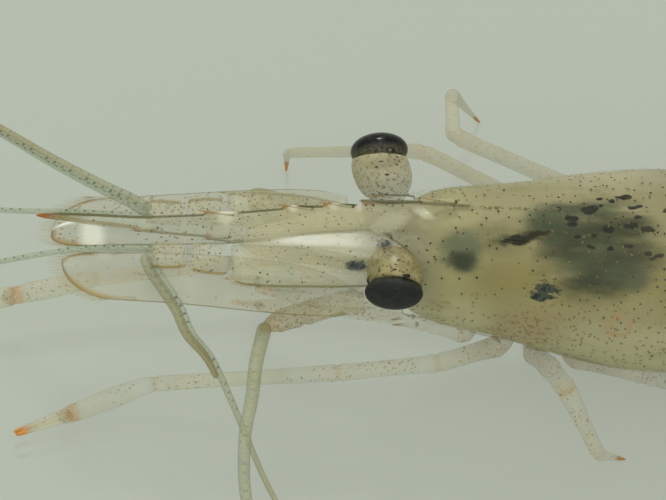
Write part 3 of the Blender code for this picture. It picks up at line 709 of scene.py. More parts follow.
def makeHorn(look):
    first, last = horn["start"], horn["edges"][-1][0]
    places = [first + (last - first) * i / horn["rows"] for i in range(horn["rows"] + 1)]
    rings = []
    for ahead in places:
        top, bottom = hornEdge(ahead)
        slim = 0.05 + 0.95 * min(1.0, (last - ahead) / horn["slimming"]) ** 0.5
        left = [Vector((-ahead, -half * slim, top + share * (bottom - top)))
                for share, half in horn["profile"]]
        right = [Vector((p.x, -p.y, p.z)) for p in reversed(left)]
        rings.append(left + right)
    lowest = len(horn["profile"])

    def rim(i, k):    # distance from the upper edge
        return rings[i][0].z - rings[i][k].z

    def under(i, k):    # distance from the lower edge
        return rings[i][k].z - rings[i][lowest].z

    def tip(i, k):
        start, grow = horn["tint"]["tip"]
        coloured = max(0.0, (places[i] - start) / grow)
        for row, gap in (("upper", rim), ("lower", under)):
            back, fade, reach = horn["tint"][row]
            for point in horn[row]:
                if 0 <= point - places[i] < back and gap(i, k) < reach:
                    coloured = max(coloured, 1 - (point - places[i]) / fade)
        return min(1.0, coloured)

    skin = Skin().loft(rings, rim=rim, tip=tip, along=lambda i, k: places[i], turn=under)
    for row, edge in (("upper", 0), ("lower", 1)):    # each tooth ends in a slender point
        back, inset, beyond, rise, radius, coloured = horn["points"][row]
        for point in horn[row]:
            level = hornEdge(point - 0.02)[edge]
            start, end = (back - point, 0, level + inset), (-point - beyond, 0, level + rise)
            thorn(skin, start, end, radius, coloured)
    skin.piece("horn", look, "clear", ("rostrum",))


def hornLook():
    paint = Paint("hornLook", IOR=1.42)
    rim, ahead, tipped = (paint.made(name) for name in ("rim", "along", "tip"))
    line, under = rim.ease(0.05, 0.02), paint.made("turn").ease(0.05, 0.02)    # the two edges
    front = ahead.ease(7.2, 9.2)
    dots, _ = paint.dots(0.17, 0.03)
    paintedGlints = paint.mark(ahead, rim, (4.72, 0.1), (0.3, 0.34), 0.98)    # painted highlights: pale glints below the teeth
    paintedGlints = paintedGlints.most(*(paint.mark(ahead, rim, (place, 0.09), (size, 0.13), 0.98)
                       for place, size in ((3.02, 0.16), (1.98, 0.16), (1.3, 0.12))))
    paintedGlints = paintedGlints * paintedGlints
    base = paint.over(
        paint.mix((224, 218, 178), (190, 200, 170), ahead.ease(3.0, 7.0)),
        ((226, 220, 180), paint.cloud(0.9).ease(0.5, 0.7) * 0.6),
        ((150, 138, 78), front * 0.9),
        ((84, 82, 28), line),
        (paint.mix((104, 104, 52), (142, 112, 44), ahead.ease(5.2, 7.0)), under * 0.9),
        ((30, 30, 26), dots * 0.9),
        (paint.mix((166, 116, 36), (160, 90, 0), ahead.ease(9.0, 9.3)), tipped),
        # painted highlight glints
        ((246, 240, 212), paintedGlints),
    )
    glass = 0.2 + 0.26 * ahead.ease(6.0, 1.0) + 0.35 * front
    solid = (line * 0.8).most(paintedGlints * 0.62, under * 0.75, dots * 0.9, tipped, glass)
    solid = solid * ahead.ease(-0.3, 0.1).most(line)
    return paint.done(base, solid, 0.16 + 0.1 * paint.cloud(0.5), paint.cloud(0.4), 0.012, 0.4)


# eyes: the pair leans, the left one lower and looking down
eyes = {
    "root": {"L": (-0.66, 0.46, 5.52), "R": (-0.26, 0.46, 5.5)},
    "seat": (-0.5, 1.72, 5.55), "lean": 0.26, "swing": 0.11, "tilt": 18.0, "ahead": 0.06,
    "radius": 0.755, "depth": {"L": 0.38, "R": 0.43}, "lip": {"L": 0.32, "R": 0.35},
    "from": -72, "rows": 48, "columns": 72,    # from: where the cornea starts inside the stalk, degrees
    "roundness": 0.93,    # 1 is a true half ball
    # share of the stalk's length: radius
    "stalk": {"L": ((0.0, 0.28), (0.27, 0.3), (0.34, 0.38), (0.4, 0.47), (0.5, 0.58), (0.64, 0.67),
                    (0.78, 0.72), (0.92, 0.735), (0.97, 0.7), (1.0, 0.6)),
              "R": ((0.0, 0.1), (0.16, 0.34), (0.28, 0.5), (0.38, 0.61), (0.49, 0.68), (0.62, 0.73),
                    (0.78, 0.745), (0.92, 0.745), (0.97, 0.71), (1.0, 0.6))},
    "spot": (0.22, 0.72, 0.1, 0.05),    # the small second eye: behind, above and outside the seat, radius
}


def eyeFrame(side):
    x, out, level = eyes["seat"]
    seat = Vector((x - side * eyes["swing"], side * out, level + side * eyes["lean"]))
    tilt = math.radians(eyes["tilt"])
    look = Vector((-eyes["ahead"], side * math.cos(tilt), side * math.sin(tilt))).normalized()
    across = look.cross(Vector((1.0, 0.0, 0.0))).normalized()
    return seat, look, across, across.cross(look)


def makeEye(letter, side, look):
    seat, out, up, forward = eyeFrame(side)
    rings = []
    for i in range(eyes["rows"] + 1):
        turn = math.radians(eyes["from"] + (90 - eyes["from"]) * i / eyes["rows"])
        radius = max(eyes["radius"] * abs(math.cos(turn)) ** eyes["roundness"], 0.002)
        centre = seat + out * (eyes["lip"][letter] + eyes["depth"][letter] * math.sin(turn))
        angles = [math.tau * k / eyes["columns"] for k in range(eyes["columns"])]
        rings.append([centre + radius * (math.cos(a) * up + math.sin(a) * forward) for a in angles])
    skin = Skin().loft(rings, rim=lambda i, k: (rings[i][k] - seat).dot(out))
    skin.piece(f"cornea{letter}", look, "eye", (f"eye_{letter}",))


def eyeLook():
    paint = Paint("corneaLook", IOR=1.33, Specular_IOR_Level=0.15, Coat_Roughness=0.03)
    facets = paint.add("ShaderNodeTexVoronoi", {}, {"Vector": paint.place, "Scale": 26.0})
    far = paint.y.ease(-0.1, 0.1)    # the right eye is wet, the left one dull
    band = paint.made("rim").ease(0.38, 0.1) * (0.2 + 0.8 * far)    # paler next to the stalk
    base = paint.over(
        paint.mix((43, 45, 42), (18, 17, 13), far),
        ((60, 64, 58), paint.cloud(0.22, 4.0).ease(0.45, 0.7) * 0.5),
        ((80, 82, 72), facets.ease(0.12, 0.0) * 0.3),
        ((106, 105, 82), band * paint.cloud(0.07, 3.0).ease(0.15, 0.75)),
    )
    return paint.feed(Base_Color=base, Roughness=0.44 - 0.2 * far + 0.08 * paint.cloud(0.3),
                      Coat_Weight=0.32 * far, Normal=paint.bump(facets, 0.004, 0.5))


def makeStalk(letter, side, look, spotLook):
    seat, out, up, _ = eyeFrame(side)
    x, y, z = eyes["root"][letter]
    root = Vector((x, side * y, z + side * eyes["lean"] * y / eyes["seat"][1]))
    middle = root.lerp(seat, 0.5) + Vector((0, 0, 0.02))
    path = smoothPath([root, middle, seat - out * 0.14, seat + out * 0.1], 14)
    skin = tube(Skin(), path, lambda s: readTable(eyes["stalk"][letter], s)[0], 56, domed=False)
    skin.piece(f"eyestalk{letter}", look, "stalk", (f"eyestalk_{letter}",))
    behind, above, outside, radius = eyes["spot"]
    lift = up if up.z > 0 else -up
    spot = seat + lift * above + out * outside + Vector((behind, 0.0, 0.0))
    along = Vector((radius, 0, 0))
    bead = tube(Skin(), [spot - along, spot + along], lambda s: radius, 20)
    bead.piece(f"eyespot{letter}", spotLook, "eye")


def stalkLook():
    paint = Paint("stalkLook", Specular_IOR_Level=0.4)
    dark, cell = paint.dots(0.11, 0.037, paint.drawn(0.5, 1.0, 1.0))
    rust, _ = paint.dots(0.13, 0.042, paint.moved(3.1, 8.3, 1.7))
    middle = paint.mark(paint.x, paint.z, (-0.55, 6.0), (0.34, 2.0))    # dark dashes gather there
    dark = dark * (0.2 + 0.8 * middle) * paint.cloud(0.3).ease(0.43, 0.53)
    far, share = paint.y.ease(-0.1, 0.1), paint.made("rim")
    outline = abs(share - 0.36).ease(0.025, 0.01) * (1 - far)    # a thin line round its back
    base = paint.over(
        paint.mix((170, 160, 112), (148, 138, 92), paint.cloud(0.5).ease(0.4, 0.6)),
        ((192, 188, 148), far * 0.92),
        ((146, 118, 62), outline * 0.8),
        (paint.mix((104, 82, 42), (134, 104, 48), far), rust * 0.8),
        ((44, 34, 22), dark * cell.other("Color").ease(0.05, 0.25)),
    )
    there = share.ease(0.3, 0.42).most(far * share.ease(0.02, 0.3) * 0.75)
    solid = (0.66 - 0.14 * far) * there + 0.24 * share.ease(0.6, 1.0)
    solid = solid.most((rust * 0.9).most(dark) * there, outline * 0.6)
    return paint.done(base, solid, 0.28 + 0.1 * paint.cloud(0.3), paint.cloud(0.12), 0.02, 0.5)


# the clear plates beside the horn
scale = {
    "level": 4.3, "setback": {"L": 0.25, "R": 0.0}, "thick": 0.03,
    "hang": 0.13, "arch": 0.2,    # how far the sides hang below the level, and the rise of the middle
    "dip": (0.16, 5.0, 4.0),      # how far its end bends down, where that starts, over what length
    # distance ahead: inner edge, outer edge
    "outline": ((1.3, 1.3, 1.9), (2.0, 0.78, 2.05), (3.0, 0.42, 2.06), (4.2, 0.24, 1.97),
                (6.0, 0.14, 1.79), (7.6, 0.12, 1.66)),
    "inner bend": (8.4, 0.3), "outer bend": (7.6, 1.24), "front": (9.12, 0.42),
    "start": 1.3, "length": 7.82, "rows": 120, "columns": 44,
    "thorn": ((-7.3, 1.66, -0.12), (-8.22, 1.64, -0.16)),    # levels from the plate's own
    # hairs: first row along the inner edge, how far back on the outer edge, length, distance apart, radius
    "hairs": {"row": 40, "outer": 7.9, "length": 0.5, "apart": 0.014, "radius": 0.007},
    "middle": (-6.6, 0.9), "forward": 0.9,    # the hairs point away from the middle, and forward
    "tint": (8.0, 1.1, 0.12),    # colour of the front: where it starts, growing over, how far in
}


def scalePoint(letter, side, ahead, share):
    inner, outer = readTable(scale["outline"], ahead)
    front, middleOut = scale["front"]
    # the front is an arc, furthest on near its inner side
    for kind, sign in (("inner bend", -1), ("outer bend", 1)):
        start, wide = scale[kind]
        if ahead > start:
            arc = middleOut + sign * wide * math.sqrt(max(0.0, 1 - ((ahead - start) / (front - start)) ** 2))
            inner, outer = (arc, outer) if sign < 0 else (inner, arc)
    out = inner + share * (outer - inner)
    middle = 1 - (2 * share - 1) ** 2
    dip, start, run = scale["dip"]
    z = scale["level"] - scale["hang"] + scale["arch"] * middle
    z -= dip * (max(0.0, ahead - start) / run) ** 2
    return Vector((-(ahead - scale["setback"][letter]), side * out, z))


# rings round a thin plate given as rows of points, and each ring point's distance from its edges;
# thin is the share of the thickness left at the edge, ends are the rows that count as edges
def plateRings(top, thick, thin, ends):
    columns = len(top[0]) - 1

    def rim(i, k):
        k = min(k, 2 * columns + 1 - k)
        return nearest(top[i][k], top[i][0], top[i][-1], *(top[end][k] for end in ends))

    rings = []
    for i, row in enumerate(top):
        walls = [thick * (thin + (1 - thin) * min(1.0, rim(i, k) / 0.2)) for k in range(columns, -1, -1)]
        rings.append(row + [point - Vector((0, 0, wall)) for point, wall in zip(reversed(row), walls)])
    return rings, rim


def makeScale(letter, side, look, hairLook):
    rows, columns, hairs, back = scale["rows"], scale["columns"], scale["hairs"], scale["setback"][letter]
    places = [scale["start"] + scale["length"] * math.sin(math.pi / 2 * i / rows) for i in range(rows + 1)]
    top = [[scalePoint(letter, side, ahead, k / columns) for k in range(columns + 1)] for ahead in places]
    rings, rim = plateRings(top, scale["thick"], 0.25, (-1, 0))

    def tip(i, k):
        start, grow, deep = scale["tint"]
        return max(0.0, (places[i] - start) / grow) * max(0.0, 1 - rim(i, k) / deep)

    skin = Skin().loft(rings, rim=rim, tip=tip, along=lambda i, k: places[i])
    thorn(skin, *(onSide(side, (x + back, y, scale["level"] + z)) for x, y, z in scale["thorn"]), 0.06, 0.5)
    skin.piece(f"antennaScale{letter}", look, "clear", (f"antenna_scale_{letter}",))
    # hairs along the inner edge and round the front
    path = [row[0] for row in top[hairs["row"]:]]
    path += [top[i][-1] for i in range(rows, 0, -1) if places[i] > hairs["outer"]]
    x, out = scale["middle"]
    centre = Vector((x + back, side * out, path[0].z))

    def lean(root):
        away = (root - centre) * Vector((1.0, 1.0, 0.0))
        return (away.normalized() + Vector((-scale["forward"], 0.0, 0.0))).normalized()

    fringe(f"scaleHairs{letter}", path, lean, hairLook, "clear", hairs["length"], hairs["apart"],
           hairs["radius"])


def scaleLook():
    paint = Paint("scaleLook", IOR=1.5, Specular_IOR_Level=0.8)
    rim, ahead, tipped = (paint.made(name) for name in ("rim", "along", "tip"))
    front = ahead.ease(6.9, 8.3)
    line = rim.ease(0.05, 0.015) * ahead.ease(1.45, 2.0)
    glow = rim.ease(0.26, 0.0) * front    # the front edge is broad and ochre
    rust, _ = paint.dots(0.12, 0.032, paint.drawn(0.55, 1.0, 1.0))
    rust = rust * ahead.ease(3.0, 4.5) * paint.y.ease(0.0, 0.3) * paint.cloud(0.9).ease(0.3, 0.42)
    black, _ = paint.dots(0.3, 0.026)
    paintedGlare = paint.mark(ahead, paint.y, (8.05, 0.4), (0.34, 0.62), 0.95)    # painted highlight: a pale glare bar near the right one's end
    base = paint.over(
        paint.mix((180, 173, 128), (168, 161, 114), paint.cloud(1.5).ease(0.4, 0.6)),
        ((174, 146, 70), glow.most(line * front)),
        ((134, 124, 62), line * (1 - front)),
        ((144, 120, 60), rust),
        ((44, 44, 34), black),
        # painted highlight bar
        ((250, 250, 232), paintedGlare),
        ((172, 140, 60), tipped),
    )
    solid = (line * (0.5 + 0.35 * front)).most(paintedGlare * paintedGlare * 0.55, glow * 0.7, rust * 0.7, black * 0.85,
                                               tipped * 0.8, 0.16 + 0.06 * paint.cloud(0.7))
    rough = 0.16 + 0.3 * paint.y.ease(0.0, -0.4) + 0.08 * paint.cloud(0.7)
    return paint.done(base, solid, rough, paint.cloud(0.5), 0.015, 0.4)


# a row of fine hairs on an edge; lean gives the way that each one points
def fringe(name, path, lean, look, slot, length, apart, radius=0.009):
    run = lengths(path)
    count = max(2, int(run[-1] / apart))
    points, faces, roots = [], [], []
    chance = random.Random(name)
    j = 0
    for n in range(count):
        place = run[-1] * (n + 0.5) / count
        while run[j + 1] < place:
            j += 1
        root = path[j].lerp(path[j + 1], (place - run[j]) / max(run[j + 1] - run[j], 1e-9))
        stray = Vector([chance.uniform(-1, 1) for _ in range(3)])
        ahead = (lean(root) + 0.14 * stray).normalized()
        reach = length * chance.uniform(0.75, 1.0)
        across = ahead.cross(Vector((0.0, 0.0, 1.0))).normalized()
        above = across.cross(ahead)
        first = len(points)
        for share, thick in ((-0.04, 1.0), (0.4, 0.8), (0.75, 0.5)):
            for a in (math.radians(90), math.radians(210), math.radians(330)):
                around = math.cos(a) * across + math.sin(a) * above
                points.append(root + ahead * reach * share + radius * thick * around)
        points.append(root + ahead * reach)
        for r in (first, first + 3):
            faces += [(r + k, r + (k + 1) % 3, r + 3 + (k + 1) % 3, r + 3 + k) for k in range(3)]
        faces += [(first + 6 + k, first + 6 + (k + 1) % 3, first + 9) for k in range(3)]
        faces.append((first + 2, first + 1, first))
        roots += [n / count] * 10
    for point in points:
        point.z = max(point.z, 0.003)
    mesh = bpy.data.meshes.new(name)
    mesh.from_pydata([home + p * mm for p in points], [], faces)
    patch = mesh.uv_layers.new(name="OFBake")    # a small patch of the map for each hair
    for loop in mesh.loops:
        corner = loop.vertex_index % 10
        across = 0.02 + 0.95 * roots[loop.vertex_index] + 0.001 * (corner % 3)
        patch.data[loop.index].uv = (across, 0.5 + 0.0009 * (corner // 3))
    addPiece(mesh, name, look, ())


def hairLook():
    paint = Paint("hairLook", Specular_IOR_Level=0.3)
    base = paint.mix((190, 178, 122), (180, 168, 106), paint.cloud(0.4))
    return paint.feed(Base_Color=base, Alpha=0.1 + 0.06 * paint.cloud(0.8),
                      Roughness=0.5 + 0.1 * paint.cloud(0.5))


def makeHead():
    shell = shellLook()
    makeShield(shell)
    makeFlesh(fleshLook())
    makeBrow(browLook())
    makeHorn(hornLook())
    spines = Skin()
    for side in sides.values():
        for ends in shield["spines"]:
            thorn(spines, *(onSide(side, end) for end in ends), 0.07, 0.35)
    spines.piece("shieldSpines", shell, "shell")
    cornea, stalk, plate, hair = eyeLook(), stalkLook(), scaleLook(), hairLook()
    for letter, side in sides.items():
        makeEye(letter, side, cornea)
        makeStalk(letter, side, stalk, cornea)
        makeScale(letter, side, plate, hair)
    return shell, plate, hair


shell, plate, hair = makeHead()
print("head and shield made")


# the flattened joints that carry the first feelers
footing = {
    # for each joint, distance ahead: inner edge, outer edge, level, half thickness
    "joints": (
        ((0.2, 0.5, 1.15, 4.42, 0.24), (1.35, 0.42, 1.42, 4.62, 0.26), (2.4, 0.37, 1.58, 4.78, 0.3),
         (3.6, 0.37, 1.64, 4.84, 0.32), (4.3, 0.37, 1.6, 4.86, 0.31), (4.66, 0.42, 1.42, 4.86, 0.26)),
        ((4.54, 0.66, 0.98, 4.86, 0.06), (4.64, 0.44, 1.2, 4.86, 0.24), (4.8, 0.38, 1.3, 4.87, 0.32),
         (5.4, 0.38, 1.24, 4.88, 0.32), (5.76, 0.42, 1.1, 4.88, 0.27)),
        ((5.6, 0.62, 0.86, 4.88, 0.06), (5.72, 0.44, 1.04, 4.88, 0.24), (5.9, 0.4, 1.12, 4.88, 0.3),
         (6.5, 0.4, 1.14, 4.88, 0.3), (6.78, 0.46, 1.04, 4.88, 0.24)),
    ),
    "rows": 46, "columns": 40, "roundEnd": 0.22, "square": 0.85,
    "right": {"closer": 0.14, "width": 0.8, "drop": 0.08},    # the right one sits lower and closer in
    "spine": ((-3.9, 1.36, 4.8), (-4.78, 1.42, 4.8)),
}


def makeFooting(letter, side, look):
    skin = Skin()
    for joint in footing["joints"]:
        first, last = joint[0][0], joint[-1][0]
        rings, sizes = [], []
        for i in range(footing["rows"] + 1):
            ahead = first + (last - first) * (0.5 - 0.5 * math.cos(math.pi * i / footing["rows"]))
            inner, outer, level, half = readTable(joint, ahead)
            if side > 0:
                right = footing["right"]
                outer, level = right["closer"] + right["width"] * outer, level - right["drop"]
            past = max(0.0, (ahead - last + footing["roundEnd"]) / footing["roundEnd"])
            bulge = math.sqrt(max(0.004, 1 - past ** 2))
            middle, reach = (inner + outer) / 2, (outer - inner) / 2 * (0.55 + 0.45 * bulge)
            ring = []
            for k in range(footing["columns"]):
                angle = math.tau * k / footing["columns"]
                across = math.copysign(abs(math.cos(angle)) ** footing["square"], math.cos(angle))
                ring.append(onSide(side, (-ahead, middle + reach * across,
                                          level + half * bulge * math.sin(angle))))
            rings.append(ring)
            sizes.append((outer, last - ahead))
        skin.loft(rings, rim=lambda i, k: min(sizes[i][0] - abs(rings[i][k].y), sizes[i][1]),
                  along=lambda i, k: -rings[i][k].x)
    thorn(skin, *(onSide(side, end) for end in footing["spine"]), 0.06, 0.6)
    skin.piece(f"antennuleBase{letter}", look, "clear", (f"antennule_base_{letter}",))


def footingLook():
    paint = Paint("footingLook", IOR=1.45)
    rim, ahead, tipped = (paint.made(name) for name in ("rim", "along", "tip"))
    far = paint.y.ease(-0.1, 0.1)    # the right one is rustier
    black, cell = paint.dots(0.17, 0.032)
    rust, _ = paint.dots(0.15, 0.045, paint.moved(2.3, 6.1, 4.7))
    rust = rust * (0.3 + 0.7 * far.most(ahead.ease(4.6, 5.0)))
    line = rim.ease(0.012, 0.003) * abs(paint.y).ease(0.75, 1.0)
    # the joints are hidden by clear bands
    seams = abs(ahead - 4.6).ease(0.1, 0.06)
    seams = seams.most(abs(ahead - 5.67).ease(0.11, 0.07), ahead.ease(6.62, 6.72))
    base = paint.mix((200, 193, 152), (188, 190, 156), paint.cloud(1.1).ease(0.35, 0.65))
    base, blots = speckle(paint, base)
    base = paint.over(
        base,
        ((150, 124, 64), rust),
        (paint.mix((128, 120, 62), (164, 136, 64), ahead.ease(4.0, 4.6)), line),
        ((34, 34, 28), black * cell.other("Color").ease(0.2, 0.5)),
        ((156, 126, 54), tipped),
    )
    glass = (0.3 + 0.12 * paint.cloud(0.9)) * (1 - 0.35 * ahead.ease(4.4, 4.7)) * (1 - 0.96 * seams)
    marks = (line * 0.7).most(black * 0.85, rust * 0.6) * (1 - seams)
    rough = 0.22 + 0.25 * ahead.ease(4.2, 4.6) + 0.1 * paint.cloud(0.5)
    solid = glass.most(marks, tipped * 0.9, blots * 0.85)
    return paint.done(base, solid, rough, paint.cloud(0.3), 0.02, 0.5)


# the feelers: each route is the solids' own, as (ahead, out, height)
feelers = {
    "outer": {
        "L": ((6.72, 0.86, 4.86), (6.54, 1.19, 4.7), (6.2, 1.62, 4.48), (5.88, 2.05, 4.25),
              (5.58, 2.62, 3.97), (5.0, 3.0, 3.4), (4.38, 3.91, 2.6), (3.43, 5.81, 1.6),
              (2.2, 8.0, 1.1), (0.6, 10.2, 0.85)),
        "R": ((6.72, 0.7, 4.92), (7.2, 0.97, 4.97), (7.86, 1.3, 5.0), (9.13, 2.06, 5.04),
              (10.4, 2.9, 5.1), (13.2, 4.8, 5.2), (16.4, 7.6, 4.9)),
    },
    "inner": {
        "L": ((6.6, 0.54, 4.86), (8.4, 0.64, 4.92), (10.6, 1.13, 4.9), (13.8, 2.1, 5.0),
              (17.4, 3.8, 4.9), (20.8, 6.2, 4.5)),
        "R": ((6.6, 0.52, 4.86), (8.6, 0.52, 4.95), (10.5, 0.48, 5.0), (13.8, 0.4, 5.3),
              (17.8, 0.9, 5.3), (22.0, 2.2, 4.9)),
    },
    "long": {
        "L": ((3.6, 2.04, 3.48), (3.86, 3.1, 3.5), (4.01, 4.13, 3.3), (4.19, 5.14, 2.8),
              (4.1, 6.6, 2.0), (3.4, 9.2, 1.25), (1.6, 12.3, 0.8), (-2.0, 15.8, 0.55),
              (-6.8, 18.3, 0.45), (-12.4, 19.9, 0.42), (-18.4, 20.4, 0.4),
              (-24.0, 19.8, 0.4)),
        "R": ((3.62, 2.06, 3.46), (3.4, 3.0, 2.7), (2.0, 3.45, 1.7), (-0.5, 3.35, 0.95),
              (-4.5, 3.3, 0.6), (-9.5, 3.8, 0.45), (-15.0, 5.1, 0.42), (-21.0, 7.0, 0.4),
              (-27.5, 8.6, 0.4)),
    },
    # for each kind: name, nodes, thinnest radius, extra at the root, how fast it tapers, facets
    "kinds": {"outer": ("antennuleOuter", ("antennule_outer",), 0.045, 0.085, 1.3, 18),
              "inner": ("antennuleInner", ("antennule_inner",), 0.035, 0.05, 1.0, 14),
              "long": ("antenna", ("antenna_1", "antenna_2", "antenna_3"), 0.045, 0.15, 2.4, 22)},
    "steps": 26,
    "branch": {"L": 3.6, "R": 7.5},    # length of the short branch of each outer feeler
    "branchRadius": 0.135, "branchTaper": 0.055,
    "beside": 0.085,                   # how far the outer feeler and its branch lie from their route
    "ring": 0.115, "spot": 0.24,       # length of one ring of a feeler, and from one spot to the next
}


def feelerPath(kind, letter):
    route = [(-ahead, sides[letter] * out, height) for ahead, out, height in feelers[kind][letter]]
    return smoothPath(route, feelers["steps"])


def upTo(path, length):    # the stretch of a path up to a length
    run = lengths(path)
    return [p for p, r in zip(path, run) if r <= length]


def aside(path, amount):    # a path moved to the right of its way, level with the ground
    moved = []
    for i, point in enumerate(path):
        ahead = path[min(i + 1, len(path) - 1)] - path[max(i - 1, 0)]
        moved.append(point + amount(i / len(path)) * ahead.cross(Vector((0, 0, 1))).normalized())
    return moved


def makeFeelers(letter, look):
    beside, thick, slim = feelers["beside"], feelers["branchRadius"], feelers["branchTaper"]
    for kind, (name, nodes, thin, extra, taper, facets) in feelers["kinds"].items():
        path = feelerPath(kind, letter)
        main = aside(path, lambda s: -beside * max(0.0, 1 - 1.6 * s)) if kind == "outer" else path
        skin = tube(Skin(), main, lambda s: thin + extra * (1 - s) ** taper, facets)
        if kind == "outer":    # its short branch runs beside it
            branch = aside(upTo(path, feelers["branch"][letter]), lambda s: beside + 0.03 * s)
            tube(skin, branch, lambda s: thick - slim * s**3, facets, tip=lambda s: 0.25 + 0.75 * s)
        skin.piece(f"{name}{letter}", look, "feeler", tuple(f"{node}_{letter}" for node in nodes))


def feelerLook():
    paint = Paint("feelerLook", Specular_IOR_Level=0.3)
    along, short, turn = (paint.made(name) for name in ("along", "tip", "turn"))
    rings = (along * (math.tau / feelers["ring"])).wave()
    near = paint.x.ease(-3.0, -5.2)    # the first feelers are spotted, the long pair plain
    spots = []    # two rows of dots, one on each side of the top
    for place, shift, wide in ((0.98, 0.0, 0.12), (0.72, 0.45, 0.13)):
        step = (along / feelers["spot"] + shift + turn * 0.3).fract()
        spots.append(paint.oval(step, turn, (0.5, place), (0.15, wide)).ease(1.2, 0.5))
    green = spots[0].most(spots[1]) * near * (1 - short) * paint.cloud(0.35).ease(0.4, 0.52) * 0.85
    base = paint.over(
        paint.mix((178, 172, 122), (166, 162, 112), paint.cloud(0.8).ease(0.4, 0.6)),
        ((170, 184, 158), near * (1 - short) * 0.8),
        ((156, 144, 84), short * 0.9),
        ((140, 138, 98), rings.ease(0.4, 1.0) * 0.14),
        ((54, 72, 68), green),
    )
    solid = (0.42 + 0.1 * (1 - near) + 0.16 * short).most(green * 0.85)
    return paint.done(base, solid, 0.4 + 0.1 * paint.cloud(0.3), rings, 0.002, 0.4)


# the joints that carry each long feeler
antennaBase = {
    # distance ahead, out, height, radius
    "path": ((0.1, 1.02, 3.82, 0.3), (1.2, 1.2, 3.74, 0.31), (2.3, 1.48, 3.6, 0.31),
             (3.2, 1.78, 3.51, 0.29), (3.6, 1.98, 3.47, 0.12)),
    "joints": (1.35, 2.55), "spine": ((-1.5, 1.5, 3.55), (-2.15, 1.66, 3.5)),
}


# a waist at a joint, with a low swelling beside it
def pinch(gap, narrow, away, wide, deep=0.12, high=0.06):
    return 1 - deep * math.exp(-(gap / narrow) ** 2) + high * math.exp(-((gap - away) / wide) ** 2)


def makeAntennaBase(letter, side, look):
    rows = antennaBase["path"]
    path = smoothPath([(-ahead, side * out, height) for ahead, out, height, _ in rows], 16)
    start, end = rows[0][0], rows[-1][0]

    def size(share):
        place = share * (end - start) + start
        radius = rows[0][3]
        for (first, *_, thick), (last, *_, thin) in zip(rows, rows[1:]):
            if first <= place <= last:
                radius = thick + (thin - thick) * (place - first) / (last - first)
        for joint in antennaBase["joints"]:
            radius *= pinch(abs(place - joint), 0.05, 0.16, 0.1)
        return radius

    skin = tube(Skin(), path, size, 30, tip=lambda s: 0.6 * max(0.0, (s - 0.86) / 0.14))
    thorn(skin, *(onSide(side, end) for end in antennaBase["spine"]), 0.05, 0.4)
    skin.piece(f"antennaBase{letter}", look, "limb", (f"antenna_base_{letter}",))


# legs: joints from the hip outwards as (x, out, height, radius)
legs = {
    "maxilliped": ((-0.05, 0.74, 2.6, 0.24), (-1.3, 0.68, 2.75, 0.25), (-2.6, 0.56, 2.95, 0.2),
                   (-3.62, 0.46, 3.12, 0.1)),
    "leg1": ((2.0, 0.78, 1.8, 0.26), (1.0, 0.5, 1.85, 0.22), (-0.4, 0.37, 2.02, 0.19),
             (-2.5, 0.36, 2.2, 0.15)),
    "leg2": {"L": ((2.95, 1.0, 1.68, 0.3), (1.2, 1.75, 1.8, 0.25), (-1.4, 1.95, 1.55, 0.23),
                   (-6.3, 1.9, 0.8, 0.21)),
             "R": ((2.95, 1.0, 1.68, 0.3), (1.1, 1.85, 1.75, 0.25), (-2.2, 1.95, 1.5, 0.23),
                   (-7.8, 1.15, 1.25, 0.21))},
    "leg3": {"L": ((3.85, 0.98, 1.38, 0.32), (4.05, 2.2, 2.35, 0.29), (4.33, 3.38, 3.0, 0.28),
                   (5.38, 4.12, 1.16, 0.19), (6.3, 3.42, 0.0, 0.03)),
             "R": ((3.85, 0.98, 1.5, 0.32), (4.0, 1.95, 1.75, 0.27), (4.2, 2.6, 2.75, 0.25),
                   (0.94, 4.0, 3.5, 0.21), (-2.28, 5.85, 0.9, 0.14), (-2.2, 5.95, 0.0, 0.03))},
    "leg4": {"L": ((4.85, 1.1, 1.4, 0.32), (6.9, 1.4, 1.05, 0.27), (8.6, 3.5, 2.95, 0.25),
                   (10.0, 4.9, 1.15, 0.17), (10.55, 5.2, 0.0, 0.03)),
             "R": ((4.85, 1.0, 1.4, 0.32), (5.2, 2.2, 1.7, 0.28), (5.5, 3.02, 3.0, 0.26),
                   (1.8, 4.5, 3.55, 0.22), (2.1, 7.0, 2.2, 0.19), (3.2, 7.8, 0.0, 0.03))},
    "leg5": {"L": ((5.85, 0.45, 1.38, 0.3), (8.3, 0.85, 1.05, 0.26), (11.2, 3.6, 2.85, 0.25),
                   (13.3, 4.5, 1.1, 0.17), (13.9, 4.7, 0.0, 0.03)),
             "R": ((5.85, 0.45, 1.38, 0.3), (6.7, 2.3, 1.5, 0.27), (7.4, 3.1, 2.3, 0.26),
                   (9.3, 4.7, 3.2, 0.24), (11.3, 6.0, 1.1, 0.16), (11.9, 6.25, 0.0, 0.03))},
    # palm's end, finger tips' middle, greatest half width of the palm, way the fingers part
    "claws": {"leg1": ((-3.5, 0.37, 2.32), (-4.22, 0.37, 2.42), 0.19, (0.0, 0.1, 0.06)),
              "leg2": {"L": ((-8.52, 2.79, 0.52), (-9.8, 3.3, 0.42), 0.28, (0.03, 0.15, 0.12)),
                       "R": ((-9.95, 0.6, 1.12), (-11.4, 0.33, 1.0), 0.28, (0.0, 0.15, 0.12))}},
    "bend": 0.16, "steps": 5, "facets": 24,
    "dactyl": 0.75,    # length of the last joint's ochre point
    "swell": -0.1, "palmSwell": 0.3,    # legs are slimmer between joints, palms fuller
}


